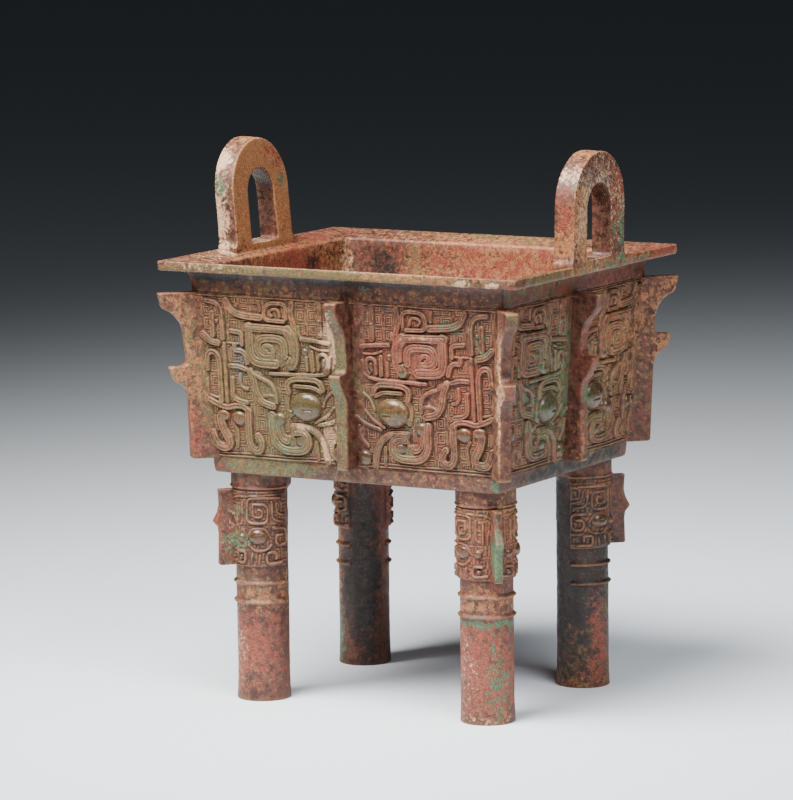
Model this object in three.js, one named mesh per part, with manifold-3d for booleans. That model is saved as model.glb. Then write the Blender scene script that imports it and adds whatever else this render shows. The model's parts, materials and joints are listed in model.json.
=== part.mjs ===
// Square bronze ding: a rectangular cauldron on four round legs, cast in one piece.
// The body tapers downwards under a flat projecting rim, two loop handles stand on the short sides,
// eight hooked flanges mark the corners and the middles of the walls, and every wall carries a
// two-halved animal mask between a pair of upright dragons.
// Millimetres, +Z up, X along the long side, the front wall facing -Y, feet at Z = 0.
import * as THREE from "three";
import { mergeVertices } from "three/addons/utils/BufferGeometryUtils.js";
import Module from "manifold-3d";

const wasm = await Module();
wasm.setup();

// The body. Half sizes are measured from the vessel's upright axis to the outer face of the wall.
const BODY_BOTTOM = 160.4;
const RELIEF_TOP = 286.4;
const HALF_LENGTH = { low: 111.8, high: 122 };
const HALF_WIDTH = { low: 93.1, high: 103.9 };
const WALL = 6;
const FLOOR = 5.6;
const FLOOR_ROUNDING = 9;
const INNER_CORNER = 8;
const BORDER = 11.5; // height of the plain band under the masks

// The neck and the projecting rim.
const NECK_FLARE = 1.4;
const RIM = { underside: 301.8, top: 308.5, halfLength: 140, halfWidth: 119, dip: 4.3, edge: 0.7 };

// The loop handles on the short sides.
const HANDLE = { thickness: 15.4, halfWidth: 37.6, top: 384, edge: 1.4, footFlare: 2, footHeight: 6 };
const SLOT = { halfWidth: 17.5, sill: 311, crown: 362.5 };
const HANDLE_LEAN = { left: 5, right: 1 }; // degrees outwards

// The hooked flanges. Each has a hook at its top and a second one lower down.
const FLANGE = { thickness: 8.8, waist: 9.5, foot: 15.5, hookLength: 10.5, sink: 5.6 };
const CORNER_REACH = 23.5;
const MIDDLE_REACH = 20.5;

// The legs.
const LEG = { x: 88.94, y: 69.58, radius: 18.14, collar: 20.8, mask: 20.6, foot: 18.8 };
const LEG_SIDES = 12;
const LEG_BARE_FROM = 145; // degrees from the leg's flange to the bare side that faces the vessel's middle
const LEG_RIDGE = { at: 149.6, proud: 1.2 };
const LEG_RINGS = { at: [74, 87.5], proud: 2.2, half: 2.2 };
const LEG_MASK = { bottom: 99.5, top: 148 };
const LEG_FLANGE = { thickness: 5.6, reach: 31, peak: 34.6, peakAt: 126, peakHalf: 8 };

// The carving stands proud of the walls, and its foot is sunk into them.
const SINK = 1;

// The bronze, its tone under the patina.
const PATINA = new THREE.MeshStandardMaterial({ color: 0x6f5a45, roughness: 0.62, metalness: 0.55 });

// ---- Solids from three.js geometry ----

// A geometry as a solid, its faces turned round where a mirrored copy left them facing in.
function solid(geometry) {
  const bare = new THREE.BufferGeometry();
  bare.setAttribute("position", geometry.getAttribute("position"));
  bare.setIndex(geometry.getIndex());
  const merged = mergeVertices(bare, 1e-3);
  const corners = [...merged.getIndex().array];
  const build = (triangles) =>
    new wasm.Manifold(
      new wasm.Mesh({
        numProp: 3,
        vertProperties: merged.getAttribute("position").array,
        triVerts: new Uint32Array(triangles),
      }),
    );
  const made = build(corners);
  return made.volume() > 0 ? made : build(corners.reverse());
}

// A closed skin through rings of equally many points, with the first and last ring filled.
function loft(rings) {
  const count = rings[0].length;
  const index = [];
  for (let ring = 0; ring + 1 < rings.length; ring++) {
    for (let i = 0; i < count; i++) {
      const a = ring * count + i;
      const b = ring * count + ((i + 1) % count);
      index.push(a, b, b + count, a, b + count, a + count);
    }
  }
  const last = (rings.length - 1) * count;
  for (let i = 1; i + 1 < count; i++) {
    index.push(0, i + 1, i, last, last + i, last + i + 1);
  }
  const geometry = new THREE.BufferGeometry().setFromPoints(rings.flat());
  return geometry.setIndex(index);
}

// A geometry with every corner moved by a rule.
function reshaped(geometry, rule) {
  const position = geometry.getAttribute("position");
  const point = new THREE.Vector3();
  for (let i = 0; i < position.count; i++) {
    point.fromBufferAttribute(position, i);
    const moved = rule(point);
    position.setXYZ(i, moved.x, moved.y, moved.z);
  }
  return geometry;
}

function join(solids) {
  return solids.reduce((whole, piece) => whole.add(piece));
}

// ---- The tapering walls ----

const tapered = ({ low, high }, z) => THREE.MathUtils.mapLinear(z, BODY_BOTTOM, RELIEF_TOP, low, high);
const halfLengthAt = (z) => tapered(HALF_LENGTH, z);
const halfWidthAt = (z) => tapered(HALF_WIDTH, z);

// One level ring of the body: a rectangle with rounded corners.
function bodyRing(halfLength, halfWidth, z, corner) {
  const ring = [];
  const steps = 2;
  for (let quarter = 0; quarter < 4; quarter++) {
    const centreX = (halfLength - corner) * (quarter === 0 || quarter === 3 ? 1 : -1);
    const centreY = (halfWidth - corner) * (quarter < 2 ? 1 : -1);
    for (let step = 0; step <= steps; step++) {
      const angle = (quarter + step / steps) * (Math.PI / 2);
      ring.push(
        new THREE.Vector3(centreX + corner * Math.cos(angle), centreY + corner * Math.sin(angle), z),
      );
    }
  }
  return ring;
}

// The hollow body in one skin: up the outside, over the rim and down the inside to the floor.
function bodyGeometry() {
  const sharp = 1;
  const outer = (z, more = 0) => bodyRing(halfLengthAt(z) + more, halfWidthAt(z) + more, z, sharp);
  const inner = (z, less = 0) => {
    const corner = INNER_CORNER + less / 2;
    return bodyRing(halfLengthAt(z) - WALL - less, halfWidthAt(z) - WALL - less, z, corner);
  };
  const rim = (z, less = 0) => bodyRing(RIM.halfLength - less, RIM.halfWidth - less, z, sharp);
  const floor = BODY_BOTTOM + FLOOR;
  return loft([
    outer(BODY_BOTTOM, -RIM.edge),
    outer(BODY_BOTTOM + RIM.edge),
    outer(RELIEF_TOP),
    bodyRing(HALF_LENGTH.high + NECK_FLARE, HALF_WIDTH.high + NECK_FLARE, RIM.underside, sharp),
    rim(RIM.underside, RIM.edge),
    rim(RIM.underside + RIM.edge),
    rim(RIM.top - RIM.edge),
    rim(RIM.top, RIM.edge),
    bodyRing(HALF_LENGTH.high - WALL, HALF_WIDTH.high - WALL, RIM.top - RIM.dip, INNER_CORNER),
    inner(RELIEF_TOP),
    inner(floor + FLOOR_ROUNDING),
    inner(floor + FLOOR_ROUNDING / 3, FLOOR_ROUNDING / 3),
    inner(floor, FLOOR_ROUNDING),
  ]);
}

// ---- Handles ----

function handleGeometry(side) {
  const arch = HANDLE.top - HANDLE.halfWidth;
  const foot = RIM.top - RIM.dip - 1;
  const outline = new THREE.Shape();
  outline.moveTo(-HANDLE.halfWidth - HANDLE.footFlare, foot);
  outline.lineTo(HANDLE.halfWidth + HANDLE.footFlare, foot);
  outline.lineTo(HANDLE.halfWidth + HANDLE.footFlare, RIM.top);
  outline.lineTo(HANDLE.halfWidth, RIM.top + HANDLE.footHeight);
  outline.absarc(0, arch, HANDLE.halfWidth, 0, Math.PI, false);
  outline.lineTo(-HANDLE.halfWidth, RIM.top + HANDLE.footHeight);
  outline.lineTo(-HANDLE.halfWidth - HANDLE.footFlare, RIM.top);
  const slot = new THREE.Path();
  const slotArch = SLOT.crown - SLOT.halfWidth;
  slot.moveTo(SLOT.halfWidth, SLOT.sill);
  slot.lineTo(SLOT.halfWidth, slotArch);
  slot.absarc(0, slotArch, SLOT.halfWidth, 0, Math.PI, false);
  slot.lineTo(-SLOT.halfWidth, SLOT.sill);
  outline.holes.push(slot);
  const geometry = new THREE.ExtrudeGeometry(outline, {
    depth: HANDLE.thickness - 2 * HANDLE.edge,
    curveSegments: 5,
    bevelThickness: HANDLE.edge,
    bevelSize: HANDLE.edge,
    bevelOffset: -HANDLE.edge,
    bevelSegments: 1,
  });
  const lean = Math.tan(THREE.MathUtils.degToRad(side > 0 ? HANDLE_LEAN.right : HANDLE_LEAN.left));
  const innerFace = RIM.halfLength - HANDLE.thickness + HANDLE.edge;
  return reshaped(geometry, ({ x: across, y: height, z: depth }) => {
    const tilt = Math.max(0, height - RIM.top) * lean;
    return new THREE.Vector3(side * (innerFace + depth + tilt), across, height);
  });
}

// ---- Flanges of the body ----

// A flange seen from its side: how far it stands out of the wall, against its height.
function flangeShape(reach, hookTop) {
  const top = { tip: RELIEF_TOP - FLANGE.hookLength, waist: RELIEF_TOP - 2.3 * FLANGE.hookLength };
  const low = { tip: hookTop - FLANGE.hookLength, waist: hookTop - 2 * FLANGE.hookLength };
  const foot = BODY_BOTTOM + BORDER - 1;
  const shape = new THREE.Shape();
  shape.moveTo(-FLANGE.sink, foot);
  shape.lineTo(FLANGE.foot, foot);
  shape.lineTo(FLANGE.waist + 2.4, low.waist);
  shape.quadraticCurveTo(FLANGE.waist + 3.4, low.tip - 1, reach - 2, low.tip);
  shape.lineTo(reach - 1, hookTop);
  shape.lineTo(FLANGE.waist, hookTop);
  shape.lineTo(FLANGE.waist, top.waist);
  shape.quadraticCurveTo(FLANGE.waist + 2, top.tip - 3, reach - 1, top.tip);
  shape.lineTo(reach, RELIEF_TOP);
  shape.lineTo(-FLANGE.sink, RELIEF_TOP);
  return shape;
}

// Corner flanges point outwards halfway between the two walls that they join.
function cornerFlange(sideX, sideY, hookTop) {
  const shape = flangeShape(CORNER_REACH, hookTop);
  const geometry = new THREE.ExtrudeGeometry(shape, {
    depth: FLANGE.thickness,
    bevelEnabled: false,
    curveSegments: 3,
  });
  return reshaped(geometry, ({ x: out, y: height, z: depth }) => {
    const beside = depth - FLANGE.thickness / 2;
    return new THREE.Vector3(
      sideX * (halfLengthAt(height) + (out + beside) * Math.SQRT1_2),
      sideY * (halfWidthAt(height) + (out - beside) * Math.SQRT1_2),
      height,
    );
  });
}

function middleFlange(wall, hookTop) {
  const geometry = new THREE.ExtrudeGeometry(flangeShape(MIDDLE_REACH, hookTop), {
    depth: FLANGE.thickness,
    bevelEnabled: false,
    curveSegments: 3,
  });
  const squareRoot = FLANGE.sink - WALL / 2; // the wall is thinner than a corner
  return reshaped(geometry, ({ x: out, y: height, z: depth }) => {
    const root = out < 0 ? out + squareRoot : out;
    return wall.place(new THREE.Vector3(depth - FLANGE.thickness / 2, height - BODY_BOTTOM, root));
  });
}

// ---- Carving ----

// A line through a few points, with sharp corners.
const straight = (...corners) => corners.map(([across, up]) => new THREE.Vector2(across, up));

// A line through a few corner points, with every inner corner turned in two bends.
function rounded(corners, radius) {
  const points = straight(...corners);
  const line = [points[0]];
  for (let i = 1; i + 1 < points.length; i++) {
    const corner = points[i];
    const before = points[i - 1].clone().sub(corner);
    const after = points[i + 1].clone().sub(corner);
    const start = corner.clone().add(before.setLength(Math.min(radius, before.length() / 2)));
    const end = corner.clone().add(after.setLength(Math.min(radius, after.length() / 2)));
    line.push(start, end);
  }
  line.push(points.at(-1));
  return line;
}

// A raised band along a line, as rings of four points: across and up the wall, and out of it.
function band(line, width, height, tip = 0.55) {
  const rings = line.map((point, i) => {
    const along = line[Math.min(i + 1, line.length - 1)].clone().sub(line[Math.max(i - 1, 0)]);
    const normal = new THREE.Vector2(-along.y, along.x).normalize();
    const half = (width / 2) * (i === 0 || i === line.length - 1 ? tip : 1);
    const at = (side, out) =>
      new THREE.Vector3(point.x + normal.x * half * side, point.y + normal.y * half * side, out);
    return [at(-1, -SINK), at(1, -SINK), at(1, height), at(-1, height)];
  });
  return loft(rings);
}

// Level ovals that shrink as they rise, for what bulges out of the wall.
function bulge([across, up], halfAcross, halfUp, sides, levels) {
  return loft(
    levels.map(({ size, out }) =>
      Array.from({ length: sides }, (_, i) => {
        const angle = (i / sides) * 2 * Math.PI;
        return new THREE.Vector3(
          across + halfAcross * size * Math.cos(angle),
          up + halfUp * size * Math.sin(angle),
          out,
        );
      }),
    ),
  );
}

function eye(centre, halfAcross, halfUp, height, sides) {
  const levels = [{ size: 1, out: -SINK }, { size: 0.95, out: height * 0.45 }, { size: 0.5, out: height }];
  return bulge(centre, halfAcross, halfUp, sides, levels);
}

function knob(centre, radius, height) {
  return bulge(centre, radius, radius, 6, [{ size: 1, out: -SINK }, { size: 0.65, out: height }]);
}

// The horn winds inwards through these corners. Here and in the mask, points are measured across
// from the wall's middle and up from the body's foot.
const HORN_SPIRAL = [
  ...[[42, 77], [38.5, 102], [77, 103], [76, 79.5]],
  ...[[57, 79.5], [57, 93.5], [68, 93.5], [66, 86.5]],
];

// One half of the mask on a wall, and the upright dragon beside it.
const maskHalf = () => [
  // nostril, and the upper lip that comes down to the fang
  knob([11, 19], 4.6, 3.4),
  band(straight([18, 13], [19.5, 29], [27, 36.5], [45, 36.5]), 5, 2.8),
  // lower jaw, curling under and back
  band(rounded([[63, 46], [62, 18], [32, 18], [33, 33], [44, 31]], 9), 5, 3),
  // eye, brow and the thin ridge above it
  eye([34.5, 51], 12.5, 9.5, 5.6, 8),
  band(straight([20, 61], [25, 66.5], [47, 67.5], [48, 60]), 5, 2.8),
  band(straight([14, 72.5], [61, 72.5]), 2.6, 1.8, 1),
  // horn, a squared spiral
  band(rounded(HORN_SPIRAL, 5.5), 5.4, 3.2),
  // ear, a leaf folded round a hollow, and the knob below it
  band(straight([76, 72.5], [58, 66], [56, 55], [61, 51], [72, 52], [73.5, 64]), 4.6, 2.8),
  knob([57, 39.5], 4.4, 3.4),
  // petal on the forehead and the long leaf above the horn
  band(straight([17.5, 76], [17.5, 92]), 7.5, 2),
  band(straight([67, 109.5], [91, 113.5]), 4.6, 2.4),
  // upright dragon: back, fin and crest
  band(straight([99, 50], [99, 112]), 6.4, 2.6),
  band(rounded([[101, 80], [111, 80], [111, 71]], 5), 4.4, 2.4),
  band(straight([101, 94], [113, 99]), 4.2, 2.4),
  // dragon's eye, snout and hooked claw
  eye([88.5, 39.5], 5.6, 5, 4, 6),
  band(rounded([[108, 49], [80, 48], [80, 17], [70, 17], [71, 27]], 5), 4.4, 2.8),
  band(rounded([[96, 42], [106, 41], [97, 18.5], [107.5, 18.5], [108, 29]], 4.5), 4.4, 2.8),
];

// One half of the small mask on a leg, measured round from the leg's flange and up from the floor:
// horn, eye, ear and the curl of the jaw.
const legMaskHalf = () => [
  band(straight([11, 131], [11, 145], [30, 145], [30, 134], [18, 134]), 3.2, 1.5),
  knob([17, 125.5], 4.4, 2.2),
  band(straight([28, 130], [36, 126], [35, 104], [25, 104]), 3.6, 1.7),
  band(straight([6, 103], [13, 103], [12, 113]), 3.4, 1.7),
];

// A wall as a place for carving: across, up and out become the vessel's X, Y and Z.
const DRAGON_EDGE = 79; // past this distance from the middle the carving is the side dragon's
const SHORT_WALL_DRAGON = 0.53; // its width on the short walls against the long ones
function wallFacing(quarterTurns) {
  const isShort = quarterTurns % 2 === 1;
  const reach = isShort ? halfLengthAt : halfWidthAt;
  const turn = (quarterTurns * Math.PI) / 2;
  const axis = new THREE.Vector3(0, 0, 1);
  const narrowed = (across) => {
    const past = Math.max(0, Math.abs(across) - DRAGON_EDGE);
    return isShort ? across - Math.sign(across) * past * (1 - SHORT_WALL_DRAGON) : across;
  };
  const place = ({ x: across, y: up, z: out }) => {
    const z = BODY_BOTTOM + up;
    return new THREE.Vector3(narrowed(across), -reach(z) - out, z).applyAxisAngle(axis, turn);
  };
  return { place };
}

const mirrored = ({ x, y, z }) => new THREE.Vector3(-x, y, z);

function wallCarving(wall) {
  const halves = [(point) => wall.place(point), (point) => wall.place(mirrored(point))];
  return halves.flatMap((place) => maskHalf().map((piece) => solid(reshaped(piece, place))));
}

// ---- Legs ----

// One level ring of a leg, with another radius on the bare side where the carving stops.
function legRing(radius, z, bareRadius = radius) {
  const bareBeyond = Math.cos(THREE.MathUtils.degToRad(LEG_BARE_FROM));
  return Array.from({ length: LEG_SIDES }, (_, i) => {
    const angle = ((i + 0.5) / LEG_SIDES) * 2 * Math.PI;
    const reach = Math.cos(angle) < bareBeyond ? bareRadius : radius;
    return new THREE.Vector3(reach * Math.cos(angle), reach * Math.sin(angle), z);
  });
}

// The two rings and the mask's lower edge sit lower by the drop.
function legGeometry(drop) {
  const rings = [legRing(LEG.foot, 0)];
  for (const at of LEG_RINGS.at) {
    rings.push(
      legRing(LEG.radius, at - drop - LEG_RINGS.half),
      legRing(LEG.radius + LEG_RINGS.proud, at - drop, LEG.radius),
      legRing(LEG.radius, at - drop + LEG_RINGS.half),
    );
  }
  rings.push(
    legRing(LEG.radius, LEG_MASK.bottom - drop),
    legRing(LEG.mask, LEG_MASK.bottom - drop, LEG.radius),
    legRing(LEG.mask, LEG_MASK.top, LEG.radius),
    legRing(LEG.collar + LEG_RIDGE.proud, LEG_RIDGE.at, LEG.collar),
    legRing(LEG.collar, LEG_RIDGE.at + 1.5),
    legRing(LEG.collar, BODY_BOTTOM + FLOOR / 2),
  );
  return loft(rings);
}

function legFlangeGeometry(drop) {
  const { thickness, reach, peak, peakAt, peakHalf } = LEG_FLANGE;
  const shape = new THREE.Shape();
  shape.moveTo(LEG.mask - 3, LEG_MASK.bottom - drop);
  shape.lineTo(reach, LEG_MASK.bottom - drop);
  shape.lineTo(reach - 0.6, peakAt - peakHalf / 2);
  shape.lineTo(peak, peakAt);
  shape.lineTo(reach - 0.8, peakAt + peakHalf);
  shape.lineTo(reach, LEG_MASK.top);
  shape.lineTo(LEG.mask - 3, LEG_MASK.top);
  const geometry = new THREE.ExtrudeGeometry(shape, { depth: thickness, bevelEnabled: false });
  return reshaped(geometry, ({ x: out, y: height, z: depth }) =>
    new THREE.Vector3(out, depth - thickness / 2, height),
  );
}

// A leg with its flange and mask, facing +X, then turned to face out of its corner.
function leg(sideX, sideY, drop) {
  const facing = Math.atan2(sideY, sideX);
  const axis = new THREE.Vector3(0, 0, 1);
  const stand = (point) =>
    point.applyAxisAngle(axis, facing).add(new THREE.Vector3(sideX * LEG.x, sideY * LEG.y, 0));
  const wrap = (side) => ({ x: round, y: up, z: out }) => {
    const angle = (side * round) / LEG.mask;
    const radius = LEG.mask + out;
    return stand(new THREE.Vector3(radius * Math.cos(angle), radius * Math.sin(angle), up));
  };
  const halves = [wrap(1), wrap(-1)];
  return [
    solid(reshaped(legGeometry(drop), stand)),
    solid(reshaped(legFlangeGeometry(drop), stand)),
    ...halves.flatMap((place) => legMaskHalf().map((piece) => solid(reshaped(piece, place)))),
  ];
}

// ---- The whole vessel ----

const walls = [0, 1, 2, 3].map(wallFacing); // front, right, back, left
const corners = [
  { x: 1, y: -1, hookTop: 238, legDrop: 0 },
  { x: 1, y: 1, hookTop: 246, legDrop: 0 },
  { x: -1, y: 1, hookTop: 243, legDrop: 0 },
  { x: -1, y: -1, hookTop: 235, legDrop: 4.5 },
];
const middleHooks = [237, 243, 243, 239];

const casting = join([
  solid(bodyGeometry()),
  ...[1, -1].map((side) => solid(handleGeometry(side))),
  ...corners.flatMap(({ x, y, legDrop }) => leg(x, y, legDrop)),
  ...corners.map(({ x, y, hookTop }) => solid(cornerFlange(x, y, hookTop))),
  ...walls.map((wall, i) => solid(middleFlange(wall, middleHooks[i]))),
  ...walls.flatMap(wallCarving),
]);

function meshOf(made, name, material) {
  const { vertProperties, triVerts } = made.getMesh();
  const geometry = new THREE.BufferGeometry();
  geometry.setAttribute("position", new THREE.BufferAttribute(vertProperties, 3));
  geometry.setIndex(new THREE.BufferAttribute(triVerts, 1));
  geometry.computeVertexNormals();
  const mesh = new THREE.Mesh(geometry, material);
  mesh.name = name;
  return mesh;
}

const vessel = meshOf(casting, "square_ding", PATINA);

// The left handle leans further than the right, so the outline's middle lies beside the axis.
vessel.geometry.computeBoundingBox();
vessel.position.x = -(vessel.geometry.boundingBox.min.x + vessel.geometry.boundingBox.max.x) / 2;

const ding = new THREE.Group();
ding.add(vessel);
export default ding;
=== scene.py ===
# %% [markdown]
# # A square bronze ding
# A ding is a ritual cauldron. This one has a rectangular body on four round legs, two loop handles,
# eight hooked flanges and an animal mask on every wall, and it was cast in one pour in a mould of
# many clay pieces. The lesson dresses the plain casting with what the mould gave it and what the
# ground did to it since: fine carving, worn edges and a patina of red, green and tan.
# The casting comes first, because every measure below is taken from it.

# %% Load the casting
import itertools
import json
import math
import bpy
import numpy as np
from mathutils import Matrix, Vector

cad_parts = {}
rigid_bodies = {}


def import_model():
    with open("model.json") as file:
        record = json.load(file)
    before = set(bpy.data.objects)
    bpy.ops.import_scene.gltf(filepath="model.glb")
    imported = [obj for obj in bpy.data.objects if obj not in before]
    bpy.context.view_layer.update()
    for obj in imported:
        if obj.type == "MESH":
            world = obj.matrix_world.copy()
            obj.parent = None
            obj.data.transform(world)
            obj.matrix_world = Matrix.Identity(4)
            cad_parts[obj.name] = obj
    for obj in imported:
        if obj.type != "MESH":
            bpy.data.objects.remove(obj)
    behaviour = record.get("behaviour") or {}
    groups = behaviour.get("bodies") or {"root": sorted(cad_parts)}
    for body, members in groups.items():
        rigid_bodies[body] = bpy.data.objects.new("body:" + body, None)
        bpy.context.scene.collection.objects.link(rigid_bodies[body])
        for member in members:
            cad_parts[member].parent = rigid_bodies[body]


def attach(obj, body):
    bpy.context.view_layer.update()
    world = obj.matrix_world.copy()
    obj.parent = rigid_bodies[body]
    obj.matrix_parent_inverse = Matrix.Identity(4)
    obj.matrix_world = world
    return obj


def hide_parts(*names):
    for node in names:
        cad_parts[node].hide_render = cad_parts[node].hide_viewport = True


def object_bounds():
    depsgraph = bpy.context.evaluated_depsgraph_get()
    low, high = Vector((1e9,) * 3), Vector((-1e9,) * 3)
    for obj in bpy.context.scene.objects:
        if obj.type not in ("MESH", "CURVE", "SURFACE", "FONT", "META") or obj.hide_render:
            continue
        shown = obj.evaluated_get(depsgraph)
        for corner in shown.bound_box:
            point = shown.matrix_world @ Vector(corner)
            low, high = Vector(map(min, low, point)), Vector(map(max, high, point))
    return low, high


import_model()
cast_low, cast_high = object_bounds()
print("casting from", list(cast_low), "to", list(cast_high))

# %% [markdown]
# ## The measures of the casting
# Carving is easiest to think about in millimetres, so everything is worked out in them and turned
# into metres only when a mesh is made. The left handle leans further out than the right one, so the
# upright axis of the body is a little beside the middle of the casting's box. The right-hand
# middle flange is the furthest point on its side, which gives the axis back.

# %% Measures
MM = 0.001
BODY_BOTTOM = 160.4
RELIEF_TOP = 286.4
HALF_LENGTH = (111.8, 122.0)
HALF_WIDTH = (93.1, 103.9)
WALL = 6.0
FLOOR = 5.6
BORDER = 11.5
RIM = {"underside": 301.8, "top": 308.5, "half_length": 140.0, "half_width": 119.0, "dip": 4.3}
MIDDLE_REACH = 20.5
CORNER_REACH = 23.5
AXIS_X = cast_high.x / MM - HALF_LENGTH[1] - MIDDLE_REACH
TOP = cast_high.z / MM


def tapered(ends, z):
    """A half size of the body at a height: it widens evenly from the bottom to the neck."""
    return ends[0] + (ends[1] - ends[0]) * (z - BODY_BOTTOM) / (RELIEF_TOP - BODY_BOTTOM)


print("the body's axis lies at x =", round(AXIS_X, 2), "mm")

# %% [markdown]
# ## The camera
# The camera stands a little above the rim, to the right of the front wall, and a long way off, so
# that upright lines stay nearly parallel. Its place and its turn are set as a matrix: turn to the
# left, tilt down, and a slight lean of the whole view.

# %% Camera
camera_data = bpy.data.cameras.new("camera")
camera = bpy.data.objects.new("camera", camera_data)
bpy.context.scene.collection.objects.link(camera)
bpy.context.scene.camera = camera
camera_data.sensor_fit = "HORIZONTAL"
camera_data.sensor_width = 36.0
camera_data.lens = 212.88
camera_data.clip_end = 100.0
CAMERA_TURN = 30.037
CAMERA_TILT = -8.234
CAMERA_LEAN = -0.690
camera.matrix_world = (
    Matrix.Translation(Vector((1.6018, -2.8014, 0.6722)))
    @ Matrix.Rotation(math.radians(CAMERA_TURN), 4, "Z")
    @ Matrix.Rotation(math.radians(90 + CAMERA_TILT), 4, "X")
    @ Matrix.Rotation(math.radians(CAMERA_LEAN), 4, "Z")
)
print("camera at", [round(v, 3) for v in camera.matrix_world.translation])

# %% [markdown]
# ## Smooth random values
# Nothing on an old casting is dead flat: the clay was pressed by hand and the ground has eaten at
# the skin. One helper gives smooth random values at any point in space, from a hash of the corners
# of a grid, so that neighbouring pieces agree and every run gives the same result.

# %% Grain in space


def grain(points, size, seed=0):
    """Smooth random values from -1 to 1 at points in millimetres, in blotches of about this size."""
    scaled = points / size + 31.7 * seed
    cell = np.floor(scaled).astype(np.int64)
    share = scaled - cell
    share = share * share * (3 - 2 * share)
    total = np.zeros(len(points))
    for corner in itertools.product((0, 1), repeat=3):
        x, y, z = (cell + corner).T
        mixed = (x * 73856093) ^ (y * 19349663) ^ (z * 83492791) ^ (seed * 2654435761)
        mixed = ((mixed ^ (mixed >> 13)) * 1274126177) & 0x7FFFFFFF
        value = ((mixed ^ (mixed >> 16)) & 0xFFFF) / 32767.5 - 1
        total += value * np.prod(np.where(corner, share, 1 - share), axis=1)
    return total


def smooth(low, high, value):
    """0 below low, 1 above high and an easy slope between them."""
    t = np.clip((value - low) / (high - low), 0, 1)
    return t * t * (3 - 2 * t)


print("grain at the origin:", round(float(grain(np.zeros((1, 3)), 10)[0]), 3))

# %% [markdown]
# ## From numbers to a piece
# Every piece is a closed mesh that rides on the casting's one body and stands for its one node.
# The helper also keeps the marks that carving leaves at each point, which the patina reads later:
# how deep the point lies among its neighbours, how far it stands proud and how polished it is.

# %% Pieces
pieces = []
carving = {}


def volume(mesh):
    """The room inside a closed mesh, which comes out negative when its faces look inwards."""
    mesh.calc_loop_triangles()
    corners = np.empty(3 * len(mesh.loop_triangles), np.int64)
    mesh.loop_triangles.foreach_get("vertices", corners)
    points = np.empty(3 * len(mesh.vertices))
    mesh.vertices.foreach_get("co", points)
    a, b, c = points.reshape(-1, 3)[corners.reshape(-1, 3)].transpose(1, 0, 2)
    return np.sum(a * np.cross(b, c)) / 6


def piece_from(name, points, faces, marks=None):
    """A closed mesh piece from points in millimetres, centred on the vessel's axis."""
    mesh = bpy.data.meshes.new(name)
    placed = (points + (AXIS_X, 0, 0)) * MM
    mesh.from_pydata(placed.tolist(), [], faces)
    mesh.validate()
    if volume(mesh) < 0:
        mesh.flip_normals()
    mesh.shade_smooth()
    made = bpy.data.objects.new(name, mesh)
    bpy.context.scene.collection.objects.link(made)
    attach(made, "root")
    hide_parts("square_ding")
    pieces.append(made)
    carving[name] = marks or {}


def grid_faces(rows, columns, closed=False):
    """The quads of a grid of points, row after row, joined round at the ends if closed."""
    across = columns if closed else columns - 1
    a = np.arange(rows - 1)[:, None] * columns + np.arange(across)
    b = np.arange(rows - 1)[:, None] * columns + (np.arange(across) + 1) % columns
    return np.stack([a, b, b + columns, a + columns], -1).reshape(-1, 4).tolist()


def skin(rings):
    """A closed skin through rings of equally many points, its first and last ring filled."""
    count = len(rings[0])
    faces = grid_faces(len(rings), count, closed=True)
    last = (len(rings) - 1) * count
    faces.append(list(range(count))[::-1])
    faces.append(list(range(last, last + count)))
    return np.concatenate(rings), faces


print("helpers for pieces are ready")

# %% [markdown]
# ## The body, from the underside up over the rim and down to the floor inside
# The body is a box with thin walls that taper downwards, a plain neck and a flat rim that sticks
# out all round and dips a little towards the mouth. It could be a solid box with another cut out
# of it, but a single skin is closed by construction and its rings can sit close where the shape
# turns. Each ring is a rectangle with rounded corners.

# %% Body shell
SIDE_STEPS = (58, 46)
CORNER_STEPS = 6


def body_ring(half_length, half_width, z, corner):
    """A level rectangle with rounded corners, with the same number of points whatever its size."""
    ring = []
    for quarter in range(4):
        side_x, side_y = (1, -1, -1, 1)[quarter], (1, 1, -1, -1)[quarter]
        centre = np.array([(half_length - corner) * side_x, (half_width - corner) * side_y])
        for step in range(CORNER_STEPS):
            angle = (quarter + step / (CORNER_STEPS - 1)) * math.pi / 2
            ring.append(centre + corner * np.array([math.cos(angle), math.sin(angle)]))
        along = np.array([math.cos((quarter + 2) * math.pi / 2), math.sin((quarter + 2) * math.pi / 2)])
        length = 2 * ((half_length if quarter % 2 == 0 else half_width) - corner)
        steps = SIDE_STEPS[quarter % 2]
        start = ring[-1]
        ring += [start + along * length * step / steps for step in range(1, steps)]
    flat = np.array(ring)
    return np.column_stack([flat, np.full(len(flat), z)])


def body_size(z):
    """The outer half sizes that walls are measured from, which stop widening at the neck."""
    held = min(z, RELIEF_TOP)
    return tapered(HALF_LENGTH, held), tapered(HALF_WIDTH, held)


def underside_and_walls():
    """Rings from the middle of the underside up to the neck. The walls sink behind the panels."""
    low = BODY_BOTTOM
    half_length, half_width = body_size(low)
    rings = [body_ring(half_length * s, half_width * s, low, 6 * s) for s in (0.05, 0.4, 0.75)]
    for more_out, z, corner in ((-6, low, 3), (-1.2, low, 1.5), (-0.3, low + 0.6, 1.5), (0, low + 1.2, 1.5)):
        rings.append(body_ring(half_length + more_out, half_width + more_out, z, corner))
    for z in np.linspace(low + 3, low + BORDER + 0.6, 5):
        rings.append(body_ring(*body_size(z), z, 1.2))
    for z in np.linspace(low + BORDER + 1.2, RELIEF_TOP - 1.2, 30):
        half_length, half_width = body_size(z)
        rings.append(body_ring(half_length - 0.9, half_width - 0.9, z, 1.2))
    return rings


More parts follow.
